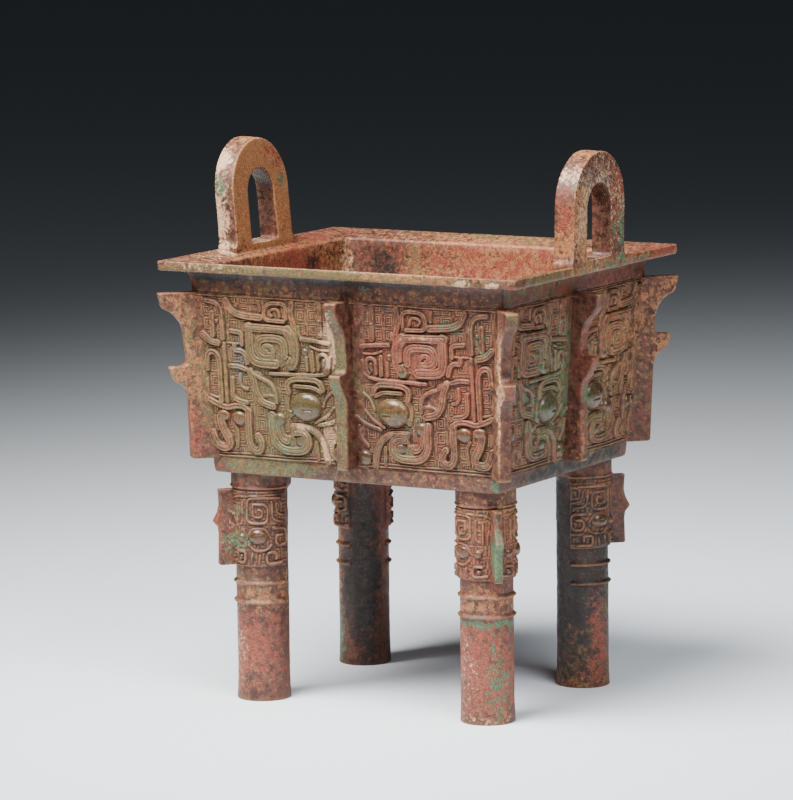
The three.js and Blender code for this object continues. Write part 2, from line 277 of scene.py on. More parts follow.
def neck_and_rim():
    """Rings up the flaring neck, out under the rim, round its edge and in over its dip."""
    rings = []
    flare, fillet, edge = 1.4, 2.2, 0.9
    for share in np.linspace(0, 1, 8):
        z = RELIEF_TOP + share * (RIM["underside"] - RELIEF_TOP)
        out = flare * share**1.5 + fillet * share**10
        rings.append(body_ring(HALF_LENGTH[1] + out, HALF_WIDTH[1] + out, z, 1.4))
    rim_length, rim_width = RIM["half_length"], RIM["half_width"]
    neck_out = flare + fillet
    for share in (0.35, 0.7):
        length = HALF_LENGTH[1] + neck_out + (rim_length - HALF_LENGTH[1] - neck_out) * share
        width = HALF_WIDTH[1] + neck_out + (rim_width - HALF_WIDTH[1] - neck_out) * share
        rings.append(body_ring(length, width, RIM["underside"], 1.4))
    rings.append(body_ring(rim_length - edge, rim_width - edge, RIM["underside"], 1.6))
    for z in np.linspace(RIM["underside"] + edge, RIM["top"] - edge, 4):
        rings.append(body_ring(rim_length, rim_width, z, 1.6))
    for inwards, drop in ((edge / 3, edge / 3), (edge, 0)):
        rings.append(body_ring(rim_length - inwards, rim_width - inwards, RIM["top"] - drop, 1.6))
    mouth_length, mouth_width = HALF_LENGTH[1] - WALL, HALF_WIDTH[1] - WALL
    for share in (0.2, 0.45, 0.7, 0.9):
        length = rim_length + (mouth_length + 2 - rim_length) * share
        width = rim_width + (mouth_width + 2 - rim_width) * share
        rings.append(body_ring(length, width, RIM["top"] - RIM["dip"] * share**1.3, 1.6 + 7 * share))
    return rings


def inside():
    """Rings over the rounded lip, down the inner walls and to the middle of the floor."""
    rings = []
    lip, rounding = 2.2, 9.0
    mouth_length, mouth_width = HALF_LENGTH[1] - WALL, HALF_WIDTH[1] - WALL
    for turn in (0.0, 0.35, 0.7, 1.0):
        angle = turn * math.pi / 2
        out = lip * (1 - math.sin(angle))
        z = RIM["top"] - RIM["dip"] - lip * (1 - math.cos(angle))
        rings.append(body_ring(mouth_length + out, mouth_width + out, z, 8))
    floor = BODY_BOTTOM + FLOOR
    for z in np.linspace(RIM["top"] - RIM["dip"] - 7, floor + rounding, 26):
        half_length, half_width = body_size(z)
        rings.append(body_ring(half_length - WALL, half_width - WALL, z, 8))
    for turn in (0.25, 0.5, 0.75, 1.0):
        angle = turn * math.pi / 2
        z = floor + rounding * (1 - math.sin(angle))
        half_length, half_width = body_size(z)
        inwards = WALL + rounding * (1 - math.cos(angle))
        rings.append(body_ring(half_length - inwards, half_width - inwards, z, 8 + rounding / 2 * turn))
    half_length, half_width = body_size(floor)
    rings += [body_ring(half_length * s, half_width * s, floor, 8 * s) for s in (0.75, 0.4, 0.05)]
    return rings


points, faces = skin(underside_and_walls() + neck_and_rim() + inside())
middle = points * (1, 1, 0)
outwards = middle / np.maximum(np.linalg.norm(middle, axis=1, keepdims=True), 1)
uneven = 0.35 * grain(points, 34, 1) + 0.16 * grain(points, 9, 2) + 0.05 * grain(points, 2.6, 3)
off_edge = (np.abs(points[:, 0]) < RIM["half_length"] - 2) & (np.abs(points[:, 1]) < RIM["half_width"] - 2)
points = points + outwards * (uneven * off_edge)[:, None]
worn_edge = np.minimum(0.5 * grain(points, 7, 4) + 0.3 * grain(points, 2.5, 8) - 0.2, 0)
points = points + outwards * (worn_edge * ~off_edge)[:, None]
piece_from("body", points, faces)
print("body:", len(faces), "faces")

# %% [markdown]
# ## Handles
# A loop handle stands on the rim over each short wall: an arch on two posts, flat on both sides,
# with a slot in it. It is a closed ring of material, so it is swept like one: walk round the slot,
# and at every step lay a rounded rectangle from the slot's edge to the outer edge. The walk covers
# two posts, the arch and the sill under the slot. Each handle leans outwards by its own angle.

# %% Handles
HANDLE = {"thickness": 15.4, "half_width": 37.6, "foot_flare": 2.0, "foot_height": 6.0}
SLOT = {"half_width": 17.5, "sill": 311.0, "crown": 362.5}
HANDLE_LEAN = {"left": 5.0, "right": 1.0}


def handle_stations():
    """Pairs of points, on the slot's edge and on the outer edge, once round the slot."""
    half, slot_half = HANDLE["half_width"], SLOT["half_width"]
    arch, slot_arch = TOP - half, SLOT["crown"] - slot_half
    foot = RIM["top"] - RIM["dip"] - 1
    pairs = []
    for angle in np.linspace(0, math.pi, 41):
        c, s = math.cos(angle), math.sin(angle)
        pairs.append(((slot_half * c, slot_arch + slot_half * s), (half * c, arch + half * s)))
    heights = np.linspace(0, 1, 20)[1:-1]
    posts = []
    for share in heights:
        inner_z = slot_arch + (SLOT["sill"] + 0.8 - slot_arch) * share
        outer_z = arch + (foot + 4 - arch) * share
        flare = HANDLE["foot_flare"] * smooth(RIM["top"] + HANDLE["foot_height"], RIM["top"], outer_z)
        posts.append((slot_half, inner_z, half + float(flare), outer_z))
    pairs += [((-a, b), (-c, d)) for a, b, c, d in posts]
    flared = half + HANDLE["foot_flare"]
    pairs.append(((-slot_half + 0.4, SLOT["sill"] + 0.2), (-flared, foot)))
    for share in np.linspace(-0.9, 0.9, 15):
        pairs.append(((slot_half * share, SLOT["sill"]), (flared * share, foot)))
    pairs.append(((slot_half - 0.4, SLOT["sill"] + 0.2), (flared, foot)))
    pairs += [((a, b), (c, d)) for a, b, c, d in posts[::-1]]
    return pairs


def rounded_section(width, thickness, radius):
    """A rectangle with rounded edges, as points from one width face round to the other."""
    along_width, along_thickness, bends = 9, 7, 4
    half = (width / 2, thickness / 2)
    section = []
    for quarter, (sx, sy) in enumerate(((1, 1), (-1, 1), (-1, -1), (1, -1))):
        centre = ((half[0] - radius) * sx, (half[1] - radius) * sy)
        for bend in range(bends + 1):
            angle = (quarter + bend / bends) * math.pi / 2
            section.append((centre[0] + radius * math.cos(angle), centre[1] + radius * math.sin(angle)))
        steps = along_width if quarter % 2 == 0 else along_thickness
        following = (quarter + 1) % 4
        signs = ((1, 1), (-1, 1), (-1, -1), (1, -1))[following]
        angle = (quarter + 1) * math.pi / 2
        end = (
            (half[0] - radius) * signs[0] + radius * math.cos(angle),
            (half[1] - radius) * signs[1] + radius * math.sin(angle),
        )
        start = section[-1]
        for step in range(1, steps):
            t = step / steps
            section.append((start[0] + (end[0] - start[0]) * t, start[1] + (end[1] - start[1]) * t))
    return np.array(section)


def handle(side, lean):
    rings = []
    for slot_point, outer_point in handle_stations():
        slot_point, outer_point = np.array(slot_point), np.array(outer_point)
        width = np.linalg.norm(outer_point - slot_point)
        direction = (outer_point - slot_point) / width
        centre = (outer_point + slot_point) / 2
        section = rounded_section(width, HANDLE["thickness"], 1.1)
        across = centre[0] + direction[0] * section[:, 0]
        z = centre[1] + direction[1] * section[:, 0]
        depth = RIM["half_length"] - HANDLE["thickness"] / 2 + section[:, 1]
        tilt = np.maximum(0, z - RIM["top"]) * math.tan(math.radians(lean))
        rings.append(np.column_stack([side * (depth + tilt), across, z]))
    count = len(rings[0])
    points = np.concatenate(rings)
    faces = grid_faces(len(rings), count, closed=True)
    last = (len(rings) - 1) * count
    faces += [[last + i, last + (i + 1) % count, (i + 1) % count, i] for i in range(count)]
    if side < 0:
        faces = [face[::-1] for face in faces]
    middle = np.array([side * (RIM["half_length"] - HANDLE["thickness"] / 2), 0, 340.0])
    away = points - middle
    away /= np.linalg.norm(away, axis=1, keepdims=True)
    worn = 0.34 * grain(points, 17, 5) + 0.16 * grain(points, 6, 6) + 0.07 * grain(points, 2.4, 7)
    worn = np.minimum(worn - 0.25, 0)
    return points + away * worn[:, None], faces


for label, side in (("left", -1), ("right", 1)):
    points, faces = handle(side, HANDLE_LEAN[label])
    piece_from("handle_" + label, points, faces)
    print("handle_" + label + ":", len(faces), "faces")

# %% [markdown]
# ## Hooked flanges
# Flanges hid the seams between the clay pieces of the mould. Seen from the side a flange is a bar
# with two hooks: level on top and hollowed below. The side view gives how far it stands out at
# each height, and a level slice with a rounded nose is laid at every one of those heights. Corner
# flanges point half way between two walls, and middle flanges straight out of theirs.

# %% Flanges
FLANGE = {"thickness": 8.8, "waist": 9.5, "foot": 15.5, "sink": 5.6, "nose": 1.8}


def densified(line, spacing):
    """A line with extra points, so that none are further apart than the spacing."""
    made = [np.array(line[0], float)]
    for end in line[1:]:
        end = np.array(end, float)
        steps = max(1, math.ceil(np.linalg.norm(end - made[-1]) / spacing))
        start = made[-1]
        made += [start + (end - start) * (step + 1) / steps for step in range(steps)]
    return np.array(made)


def flange_side_view(reach, hook_top, low_reach):
    """Height and reach, from the top hook down to the foot."""
    waist, foot_reach = FLANGE["waist"], FLANGE["foot"]
    foot = BODY_BOTTOM + BORDER - 1
    return densified(
        [
            (RELIEF_TOP, reach - 0.9),
            (RELIEF_TOP - 0.8, reach),
            (RELIEF_TOP - 9, reach - 0.9),
            (RELIEF_TOP - 11.2, reach - 2.4),
            (RELIEF_TOP - 13.4, waist + 7.4),
            (RELIEF_TOP - 16.5, waist + 4),
            (RELIEF_TOP - 21, waist + 1.4),
            (RELIEF_TOP - 27, waist),
            (hook_top + 5, waist),
            (hook_top + 2.2, waist + 0.9),
            (hook_top + 0.7, waist + 3),
            (hook_top + 0.15, waist + 6),
            (hook_top, low_reach - 1),
            (hook_top - 0.9, low_reach),
            (hook_top - 8, low_reach - 1.6),
            (hook_top - 10.4, low_reach - 3.2),
            (hook_top - 12.4, waist + 6.4),
            (hook_top - 16, waist + 3.2),
            (hook_top - 22, waist + 2.4),
            (foot + 1, foot_reach),
            (foot, foot_reach - 0.9),
        ],
        1.5,
    )


def flange_slice(reach):
    """One level slice, as how far out and how far beside, from the root round the nose and back."""
    half, nose = FLANGE["thickness"] / 2, FLANGE["nose"]
    side = np.linspace(-FLANGE["sink"], reach - nose, 12)
    bend = np.linspace(0, math.pi / 2, 5)[1:]
    outs = list(side) + list(reach - nose + nose * np.sin(bend)) + [reach] * 3
    besides = [half] * len(side) + list(half - nose + nose * np.cos(bend))
    besides += list(np.linspace(half - nose, nose - half, 5)[1:-1])
    outs += list(reach - nose + nose * np.sin(bend))[::-1] + list(side)[::-1]
    besides += list(-(half - nose + nose * np.cos(bend)))[::-1] + [-half] * len(side)
    return np.array(outs), np.array(besides)


def flange(place, reach, hook_top, low_reach):
    rings = []
    for z, out_to in flange_side_view(reach, hook_top, low_reach):
        outs, besides = flange_slice(out_to)
        rings.append(place(outs, besides, z))
    return skin(rings)


def corner_place(side_x, side_y):
    def place(outs, besides, z):
        x = side_x * (tapered(HALF_LENGTH, z) + (outs + besides) * math.sqrt(0.5))
        y = side_y * (tapered(HALF_WIDTH, z) + (outs - besides) * math.sqrt(0.5))
        return np.column_stack([x, y, np.full(len(x), z)])

    return place


def wall_place(quarter_turns):
    """Places points given as out of, across and up a wall. Walls count front, right, back, left."""
    reach_of = HALF_LENGTH if quarter_turns % 2 else HALF_WIDTH
    turn = quarter_turns * math.pi / 2
    cosine, sine = round(math.cos(turn)), round(math.sin(turn))

    def place(outs, across, z):
        y = -(tapered(reach_of, z) + outs)
        x = np.broadcast_to(across, np.shape(y)) if np.ndim(y) else across
        z_column = np.broadcast_to(z, np.shape(y))
        return np.column_stack([cosine * x - sine * y, sine * x + cosine * y, z_column])

    return place


def finished_flange(name, place, reach, hook_top, low_reach, mirrored):
    points, faces = flange(place, reach, hook_top, low_reach)
    if mirrored:
        faces = [face[::-1] for face in faces]
    piece_from(name, points, faces)
    print(name + ":", len(faces), "faces")


CORNERS = {
    "front_right": (1, -1, 238.0, 0.0),
    "back_right": (1, 1, 246.0, 0.0),
    "back_left": (-1, 1, 243.0, 0.0),
    "front_left": (-1, -1, 235.0, 4.5),
}
CORNER_HOOK_REACH = 22.4
for label, (side_x, side_y, hook_top, _) in CORNERS.items():
    place, mirrored = corner_place(side_x, side_y), side_x * side_y > 0
    finished_flange("flange_" + label, place, CORNER_REACH, hook_top, CORNER_HOOK_REACH, mirrored)
WALLS = {"front": 237.0, "right": 243.0, "back": 243.0, "left": 239.0}
MIDDLE_HOOK_REACH = 19.6
for quarter_turns, (label, hook_top) in enumerate(WALLS.items()):
    place, name = wall_place(quarter_turns), "flange_middle_" + label
    finished_flange(name, place, MIDDLE_REACH, hook_top, MIDDLE_HOOK_REACH, False)

# %% [markdown]
# ## Legs
# The legs are round posts with a collar under the body, a ridge, an animal mask and two rings.
# The mask and the rings stop short of the side that faces the vessel's middle, which stayed bare.
# A leg is its own upright skin: at every height a ring of points, whose distance from the leg's
# axis comes from the outline of the leg plus the carving at that place.

# %% Leg outline
LEG = {"x": 88.94, "y": 69.58, "radius": 18.14, "collar": 20.8, "mask": 20.0, "foot": 18.8}
LEG_RIDGE = {"at": 149.6, "proud": 1.3}
LEG_RINGS = (74.0, 87.5)
LEG_MASK = {"bottom": 99.5, "top": 148.0}
LEG_BARE_FROM = 133.0


def leg_outline(z, drop):
    """The leg's bare radius, and what its collar, ridge, rings and mask add where it is not bare."""
    foot = (LEG["foot"] - LEG["radius"]) * np.exp(-z / 9)
    collar = (LEG["collar"] - LEG["radius"]) * smooth(LEG_RIDGE["at"] - 3, LEG_RIDGE["at"] + 1.5, z)
    bare = LEG["radius"] + foot + collar
    rings = sum(2.0 * np.exp(-(((z - at + drop) / 1.15) ** 2)) for at in LEG_RINGS)
    ridge = LEG_RIDGE["proud"] * np.exp(-(((z - LEG_RIDGE["at"]) / 0.9) ** 2))
    in_mask = smooth(LEG_MASK["bottom"] - drop - 0.35, LEG_MASK["bottom"] - drop + 0.35, z)
    in_mask = in_mask * (1 - smooth(LEG_MASK["top"] - 0.2, LEG_MASK["top"] + 0.5, z))
    mask = (LEG["mask"] - LEG["radius"]) * in_mask * (1 - smooth(LEG_RIDGE["at"] - 3, LEG_RIDGE["at"], z))
    return bare, rings + ridge + mask, in_mask


print("bare radius at the foot:", round(float(leg_outline(np.array([0.0]), 0)[0][0]), 2))

# %% [markdown]
# ## Carving as heights
# The carving is a height above the ground at every point of a fine grid. Its strokes are bands
# along a few corner points, with worn shoulders and sometimes a line cut along them, and its eyes
# are domes. A stroke is drawn by measuring how far each grid point lies from its line. Between the
# strokes the ground is filled with squared spirals, in cells as wide as four or five of their turns.

# %% Strokes, domes and spirals
BEND_POINTS = 5


def rounded(corners, radius):
    """A line through corner points, with every inner corner turned in a curve."""
    corners = [np.array(c, float) for c in corners]
    line = [corners[0]]
    for before, corner, after in zip(corners, corners[1:], corners[2:]):
        start_gap = min(radius, np.linalg.norm(before - corner) / 2)
        end_gap = min(radius, np.linalg.norm(after - corner) / 2)
        start = corner + (before - corner) * start_gap / np.linalg.norm(before - corner)
        end = corner + (after - corner) * end_gap / np.linalg.norm(after - corner)
        for t in np.linspace(0, 1, BEND_POINTS):
            line.append(start * (1 - t) ** 2 + corner * 2 * t * (1 - t) + end * t**2)
    line.append(corners[-1])
    return line


def distance_to(across, up, line):
    nearest = np.full(np.shape(across), 1e6)
    for start, end in zip(line, line[1:]):
        run = np.subtract(end, start)
        squared = max(float(run @ run), 1e-9)
        t = np.clip(((across - start[0]) * run[0] + (up - start[1]) * run[1]) / squared, 0, 1)
        nearest = np.minimum(nearest, np.hypot(across - start[0] - t * run[0], up - start[1] - t * run[1]))
    return nearest


class Relief:
    """Carving on a patch of ground: the height of its forms, and how far each point is from them."""

    cut_depth, cut_width = 0.8, 0.4

    def __init__(self, across, up):
        self.across, self.up = across, up
        self.form = np.zeros_like(across)
        self.clear = np.full_like(across, 30.0)
        self.polish = np.zeros_like(across)

    def window(self, line, margin):
        xs, ys = [p[0] for p in line], [p[1] for p in line]
        near = (self.across > min(xs) - margin) & (self.across < max(xs) + margin)
        near &= (self.up > min(ys) - margin) & (self.up < max(ys) + margin)
        return near

    def raise_to(self, near, height, clear):
        self.form[near] = np.maximum(self.form[near], height)
        self.clear[near] = np.minimum(self.clear[near], clear)

    def stroke(self, corners, width, height, radius=0.0, cuts=(), shoulder=0.7):
        """A flat band with crisp edges along a line. Cuts are engraved this far from its middle."""
        line = rounded(corners, radius) if radius else [np.array(c, float) for c in corners]
        near = self.window(line, width)
        d = distance_to(self.across[near], self.up[near], line)
        rise = np.clip((width / 2 - d) / shoulder, 0, 1)
        crown = 0.12 * (1 - np.minimum(2 * d / width, 1) ** 2)
        profile = height * (1 + crown) * (1 - (1 - rise) ** 2)
        for cut in cuts:
            profile = profile - self.cut_depth * np.exp(-(((d - cut) / self.cut_width) ** 2)) * (rise > 0.2)
        self.raise_to(near, profile, d - width / 2)

    def dome(self, centre, half_across, half_up, height, power=2.0):
        line = [np.array(centre, float)]
        near = self.window(line, max(half_across, half_up) + 2)
        aside, above = self.across[near] - centre[0], self.up[near] - centre[1]
        far = np.hypot(aside / half_across, above / half_up)
        rise = np.sqrt(np.clip(1 - far**power, 0, 1))
        on_top = height * rise > self.form[near]
        self.polish[near] = np.where(on_top, 1 - smooth(0.88, 1, far), self.polish[near])
        self.raise_to(near, height * rise, (far - 1) * min(half_across, half_up))

    def pit(self, corners, width, depth):
        """A hollow along a line, cut into forms and ground alike."""
        line = [np.array(c, float) for c in corners]
        near = self.window(line, width)
        d = distance_to(self.across[near], self.up[near], line)
        self.form[near] -= depth * (1 - smooth(0, width / 2, d))


def spiral_ground(column, row, cell_columns, cell_rows):
    """Squared spirals on the numbers of the grid: 1 on their lines and 0 in the grooves between."""
    turn_steps = 4
    cell_x, cell_y = column // cell_columns, row // cell_rows
    flip = (cell_x + cell_y) % 2 == 1
    x = column % cell_columns - (cell_columns - 1) / 2
    y = row % cell_rows - (cell_rows - 1) / 2
    x = np.where(flip, -x, x)
    long_side = max(cell_columns, cell_rows) / 2
    far_x = np.abs(x) + (long_side - cell_columns / 2)
    far_y = np.abs(y) + (long_side - cell_rows / 2)
    side = np.where(far_x >= far_y, np.where(x > 0, 0, 2), np.where(y > 0, 1, 3))
    phase = (np.maximum(far_x, far_y) - side) % turn_steps
    return (phase < turn_steps / 2).astype(float)


print("a tool for strokes, domes, pits and spirals is ready")

# %% [markdown]
# ## The mask on a wall
# Two halves of an animal face meet at the middle flange, which is its nose ridge. Each half has a
# nostril, a fanged lip and a jaw that curls under, a domed eye below its brow, a horn wound into a
# squared spiral, an ear like a folded leaf, and at the side an upright dragon with a little eye,
# a back that runs up along the edge, fins and a hooked claw.

# %% Half a mask


def carve_face(relief):
    stroke, dome, pit = relief.stroke, relief.dome, relief.pit
    # the plain strip of forehead and nose beside the flange, and the nose's steps
    stroke([(8, 76), (11, 122)], 10, 0.9, shoulder=1.4)
    stroke([(3, 12), (7, 70)], 12, 0.7, shoulder=1.6)
    dome((10, 18.6), 5.8, 5.4, 4.4, 2.3)
    stroke([(13, 27), (8, 31.5), (7, 40)], 3.4, 2.0, 3)
    stroke([(5, 47), (13, 41), (24, 38.8)], 3.2, 1.9, 5)
    # fanged lip, and the jaw that curls under it
    stroke([(18.6, 13.4), (20.2, 24), (25, 32.6), (33, 36.8), (45, 36.6)], 5.2, 3.0, 7, cuts=(1.5,))
    stroke([(26.4, 14.5), (27, 26.5)], 3.0, 2.0, cuts=(0.0,))
    stroke([(58, 36), (56, 26), (40, 24), (38, 29)], 10, 1.4, 5, shoulder=1.2)
    stroke([(61.2, 43.5), (61, 27), (54, 19.4), (38, 19.2), (32.6, 24), (33.2, 31), (38, 33.8), (43, 33)],
           6.2, 3.3, 7, cuts=(1.4,))
    stroke([(57, 38), (55.6, 27.5), (49.5, 24.4), (48.6, 28.8)], 3.8, 2.7, 5, cuts=(0.2,))
    dome((38.6, 26.6), 5.2, 4.4, 3.6, 2.3)
    stroke([(44.8, 34.6), (45.6, 29)], 3.0, 2.4)
    # eye with its slot, its corners and the double brow
    dome((33.8, 51), 12.4, 10.0, 7.4, 2.1)
    pit([(28, 49), (34.4, 49.4)], 2.2, 1.1)
    stroke([(12.5, 51), (18, 44.6), (27, 40.6)], 2.8, 1.8, 4)
    stroke([(12, 63), (18, 58.4), (20, 52)], 2.6, 1.9, 4)
    stroke([(46.8, 60), (49.4, 52), (46.8, 44)], 3.2, 2.1, 4, cuts=(0.2,))
    stroke([(19.5, 63.5), (22, 69), (28, 70.4), (44, 69.8), (48.4, 66), (46.8, 60.6)],
           4.4, 3.1, 5, cuts=(0.2,))
    stroke([(21.5, 61.8), (27, 64.8), (41.4, 65)], 3.2, 2.7, 4, cuts=(0.0,))
    dome((46.4, 45.4), 3.0, 2.8, 2.6)
    # ear: a leaf folded round a hollow, and the knob below it
    stroke([(58, 60), (70, 66)], 8.0, 0.7)
    stroke([(77, 73.4), (71, 69.4), (62, 66.8), (57.2, 61.4), (56.8, 53)], 3.2, 3.3, 6)
    stroke([(60, 56), (68, 60), (73, 68)], 12, 1.3, shoulder=1.5)
    stroke([(77, 73.4), (73.8, 66), (73, 58), (68.6, 51.6), (60, 49.8)], 5.4, 3.0, 6, cuts=(1.0,))
    stroke([(57, 56), (62, 57.6), (67, 56)], 2.8, 2.4, 3)
    dome((56, 40.8), 5.0, 4.9, 4.0, 2.2)


def carve_horn(relief):
    stroke, dome, pit = relief.stroke, relief.dome, relief.pit
    # the ridge that parts brow and horn
    stroke([(12.6, 86), (13.6, 76), (21, 73.2), (61, 72.4)], 3.0, 2.7, 6)
    # a broad band wound in a squared spiral, from a round knob in to the middle
    stroke([(46, 84), (46, 98), (70, 98), (71, 84), (54, 83), (60, 91)], 13, 1.5, shoulder=1.2)
    stroke([(43.6, 79.6), (40.2, 84), (40.2, 97), (45, 102.6)], 8.4, 3.3, 7, cuts=(1.6,))
    stroke([(41.4, 99.6), (46, 103.2), (77.6, 103.8)], 6.0, 3.6, 5, cuts=(1.5,))
    stroke([(75.8, 104), (75.8, 84), (71, 79.4), (56, 79.2)], 7.2, 3.3, 9, cuts=(1.5,))
    stroke([(48, 85.6), (48, 93.6), (52, 97.2), (67, 96.8), (69.8, 92), (69.2, 87), (65, 84), (58.6, 84.6)],
           6.2, 3.0, 6, cuts=(1.2,))
    stroke([(58.4, 85), (56.8, 88), (59.8, 91.8), (64.6, 91.4), (65, 88.6), (62.6, 87.6)], 4.0, 2.9, 3)
    dome((43.4, 78.8), 4.8, 3.9, 4.1)
    pit([(42.6, 85), (45.4, 86)], 2.4, 1.6)
    # petals on the forehead, and the bar above them
    stroke([(17.2, 77.2), (14.8, 80), (15.2, 86.6), (19, 88.6), (22.8, 86.4), (22.4, 77.6)], 3.0, 2.3, 3)
    dome((18.6, 81.6), 2.2, 3.6, 2.2)
    stroke([(26.6, 76.6), (27.2, 89)], 3.4, 2.3, cuts=(0.0,))
    stroke([(31.4, 76.4), (31.8, 85)], 2.8, 2.0)
    dome((33, 88.6), 2.6, 2.6, 2.2)
    stroke([(12.5, 95.8), (25, 97.2), (34.4, 97.8)], 3.4, 2.8)
    stroke([(34.2, 97.6), (36.4, 101), (36.6, 106)], 2.6, 2.0, 3)
    stroke([(13.8, 90.8), (21.6, 90.6), (28, 93)], 2.2, 1.9, 4)
    pit([(15, 93.6), (25, 93.6)], 2.6, 0.7)
    stroke([(20.6, 122), (20.6, 101.4)], 5.6, 1.8, cuts=(1.2,))
    dome((20.6, 110), 2.7, 2.7, 2.9)
    stroke([(41, 122), (42.6, 114), (39.8, 106), (38.6, 98)], 4.6, 2.1, 4, cuts=(0.0,))
    # squared curl and long leaf above the horn
    stroke([(45.8, 111), (45.4, 119.4), (49, 121.6), (60, 121.2), (63.6, 117), (63.4, 109.2), (48, 108.8)],
           3.2, 2.5, 4, cuts=(0.0,))
    stroke([(51, 112.4), (51.6, 117.2), (57, 117.4), (59.8, 114.8), (57.4, 112.4)], 2.4, 2.1, 3)
    stroke([(66.5, 110.8), (82, 111.6), (89.6, 114.6), (93.4, 121.6)], 5.4, 2.9, 7, cuts=(0.8,))
    stroke([(67.6, 122), (67, 115.4)], 2.8, 1.8)


def carve_dragon(relief):
    stroke, dome, pit = relief.stroke, relief.dome, relief.pit
    # the hooks between horn and dragon
    stroke([(82.4, 91.8), (82.4, 99.6), (91.8, 100.8)], 3.6, 2.5, 3, cuts=(0.0,))
    stroke([(84.6, 92), (94.4, 92)], 1.8, 1.6)
    stroke([(78.6, 79.4), (80.4, 85.4), (84, 87.6), (88.6, 86.8), (88.8, 91)], 3.8, 2.6, 3, cuts=(0.0,))
    stroke([(80.8, 74.2), (86, 76), (93.4, 75.8)], 3.6, 2.4, 3, cuts=(0.0,))
    stroke([(92, 67), (92.2, 55), (89, 51.6), (81.6, 50.6)], 3.8, 2.5, 4, cuts=(0.0,))
    stroke([(80.6, 60.2), (84, 60.6), (86.2, 64), (85.6, 70.4)], 2.8, 2.0, 3)
    # its back in two bands, one of them hooked over, and the long tail with its crest
    stroke([(97, 50), (97, 91.4)], 3.2, 2.7)
    stroke([(101.4, 50.5), (101.4, 80), (105, 85.2), (111, 84.6), (111.8, 73)], 4.4, 2.8, 5, cuts=(0.2,))
    stroke([(102, 91.4), (108, 92.6), (113.4, 97.4)], 5.2, 3.0, 4, cuts=(1.0,))
    stroke([(97.6, 95), (97.6, 114), (101.4, 120.2), (110.4, 121)], 3.8, 2.6, 5, cuts=(0.0,))
    stroke([(105.6, 96.8), (105.8, 112.4)], 4.4, 2.3, cuts=(0.0,))
    dome((102.2, 107), 1.8, 1.8, 2.4)
    stroke([(104, 52.8), (111.4, 54.2), (112.2, 66)], 2.2, 1.8, 3)
    # its brow, its eye, the trunk that curls in an S and the hooked claw
    stroke([(79.6, 43.6), (83, 47.8), (91, 48.2), (97, 46), (103.6, 48), (110.6, 51.4)],
           4.4, 2.8, 5, cuts=(0.3,))
    dome((88.4, 39.4), 6.1, 5.3, 4.6, 2.3)
    stroke([(99, 41), (103.4, 39.6), (101, 31), (95.6, 22.8), (98.6, 18.6), (106, 19), (110.2, 28)],
           6.6, 3.3, 5, cuts=(1.5,))
    dome((100.6, 40.8), 5.3, 4.3, 4.2, 2.3)
    stroke([(80.4, 44.6), (80.6, 22), (76.6, 17.2), (71.8, 18), (70.8, 24.4), (73.8, 27.8)],
           5.6, 3.1, 6, cuts=(1.1,))
    pit([(73.8, 21.6), (74.8, 22)], 2.6, 1.8)
    stroke([(92.6, 34.6), (89.6, 30), (91, 19.6)], 2.8, 2.0, 4, cuts=(0.0,))


def carve_half_mask(relief):
    carve_face(relief)
    carve_horn(relief)
    carve_dragon(relief)


print("half a mask is a list of strokes and domes")

# %% [markdown]
# ## Carved panels on the walls
# Every wall has a left and a right panel, each a closed slab whose front is the carved grid. Its
# back is flat and sunk in the wall, and its edges are hidden in the flanges. Up to the dragon the
# columns of the grid are upright, and from there they spread to follow the slanting corner. The
# short walls use the same drawing with the dragon squeezed narrower. The two walls away from the
# front are plainer: their spirals are larger.

# %% Wall panels
DRAGON_EDGE = 79.0
SHORT_WALL_DRAGON = 0.53
PANEL_START = 3.4
CORNER_GAP = 3.6
PANEL_LOW, PANEL_HIGH = BORDER, RELIEF_TOP - BODY_BOTTOM
SPIRAL_CELL = 21
SPIRAL_HEIGHT = 0.85
FORM_SHARE = 0.85
PANEL_GROUND = 0.1


def blurred(values, passes):
    """Values averaged with their neighbours on the grid, again and again."""
    for _ in range(passes):
        padded = np.pad(values, 1, mode="edge")
        beside = padded[:-2, 1:-1] + padded[2:, 1:-1] + padded[1:-1, :-2] + padded[1:-1, 2:]
        values = (beside + 2 * values) / 6
    return values


def worn(height, flat, seed):
    """The height after corrosion: small pits eaten in, and a skin that is never quite smooth."""
    eaten = np.maximum(grain(flat, 3.1, seed) * 0.5 + grain(flat, 8, seed + 1) * 0.6 - 0.42, 0)
    uneven = 0.09 * grain(flat, 2.2, seed + 2) + 0.14 * grain(flat, 7, seed + 3)
    return height + (uneven - 0.6 * eaten).reshape(height.shape)


def depth(height, passes):
    """How far each point lies below its surroundings, 1 being six tenths of a millimetre or more."""
    return np.clip((blurred(height, passes) - height) / 0.6, 0, 1).ravel()


def panel_grid(quarter_turns, step):
    """Across and up of every grid point. Beyond the dragon's edge the columns slant with the corner."""
    edge_of = HALF_WIDTH if quarter_turns % 2 else HALF_LENGTH
    ups = np.linspace(PANEL_LOW, PANEL_HIGH, int((PANEL_HIGH - PANEL_LOW) / step) + 1)
    middle_edge = tapered(edge_of, BODY_BOTTOM + PANEL_HIGH / 2) - CORNER_GAP
    straight = np.linspace(PANEL_START, middle_edge, int((middle_edge - PANEL_START) / step) + 1)
    edge = tapered(edge_of, BODY_BOTTOM + ups)[:, None] - CORNER_GAP
    spread = np.maximum(straight - DRAGON_EDGE, 0) / (middle_edge - DRAGON_EDGE)
    across = np.minimum(straight, DRAGON_EDGE) + spread * (edge - DRAGON_EDGE)
    return across, np.broadcast_to(ups[:, None], across.shape)


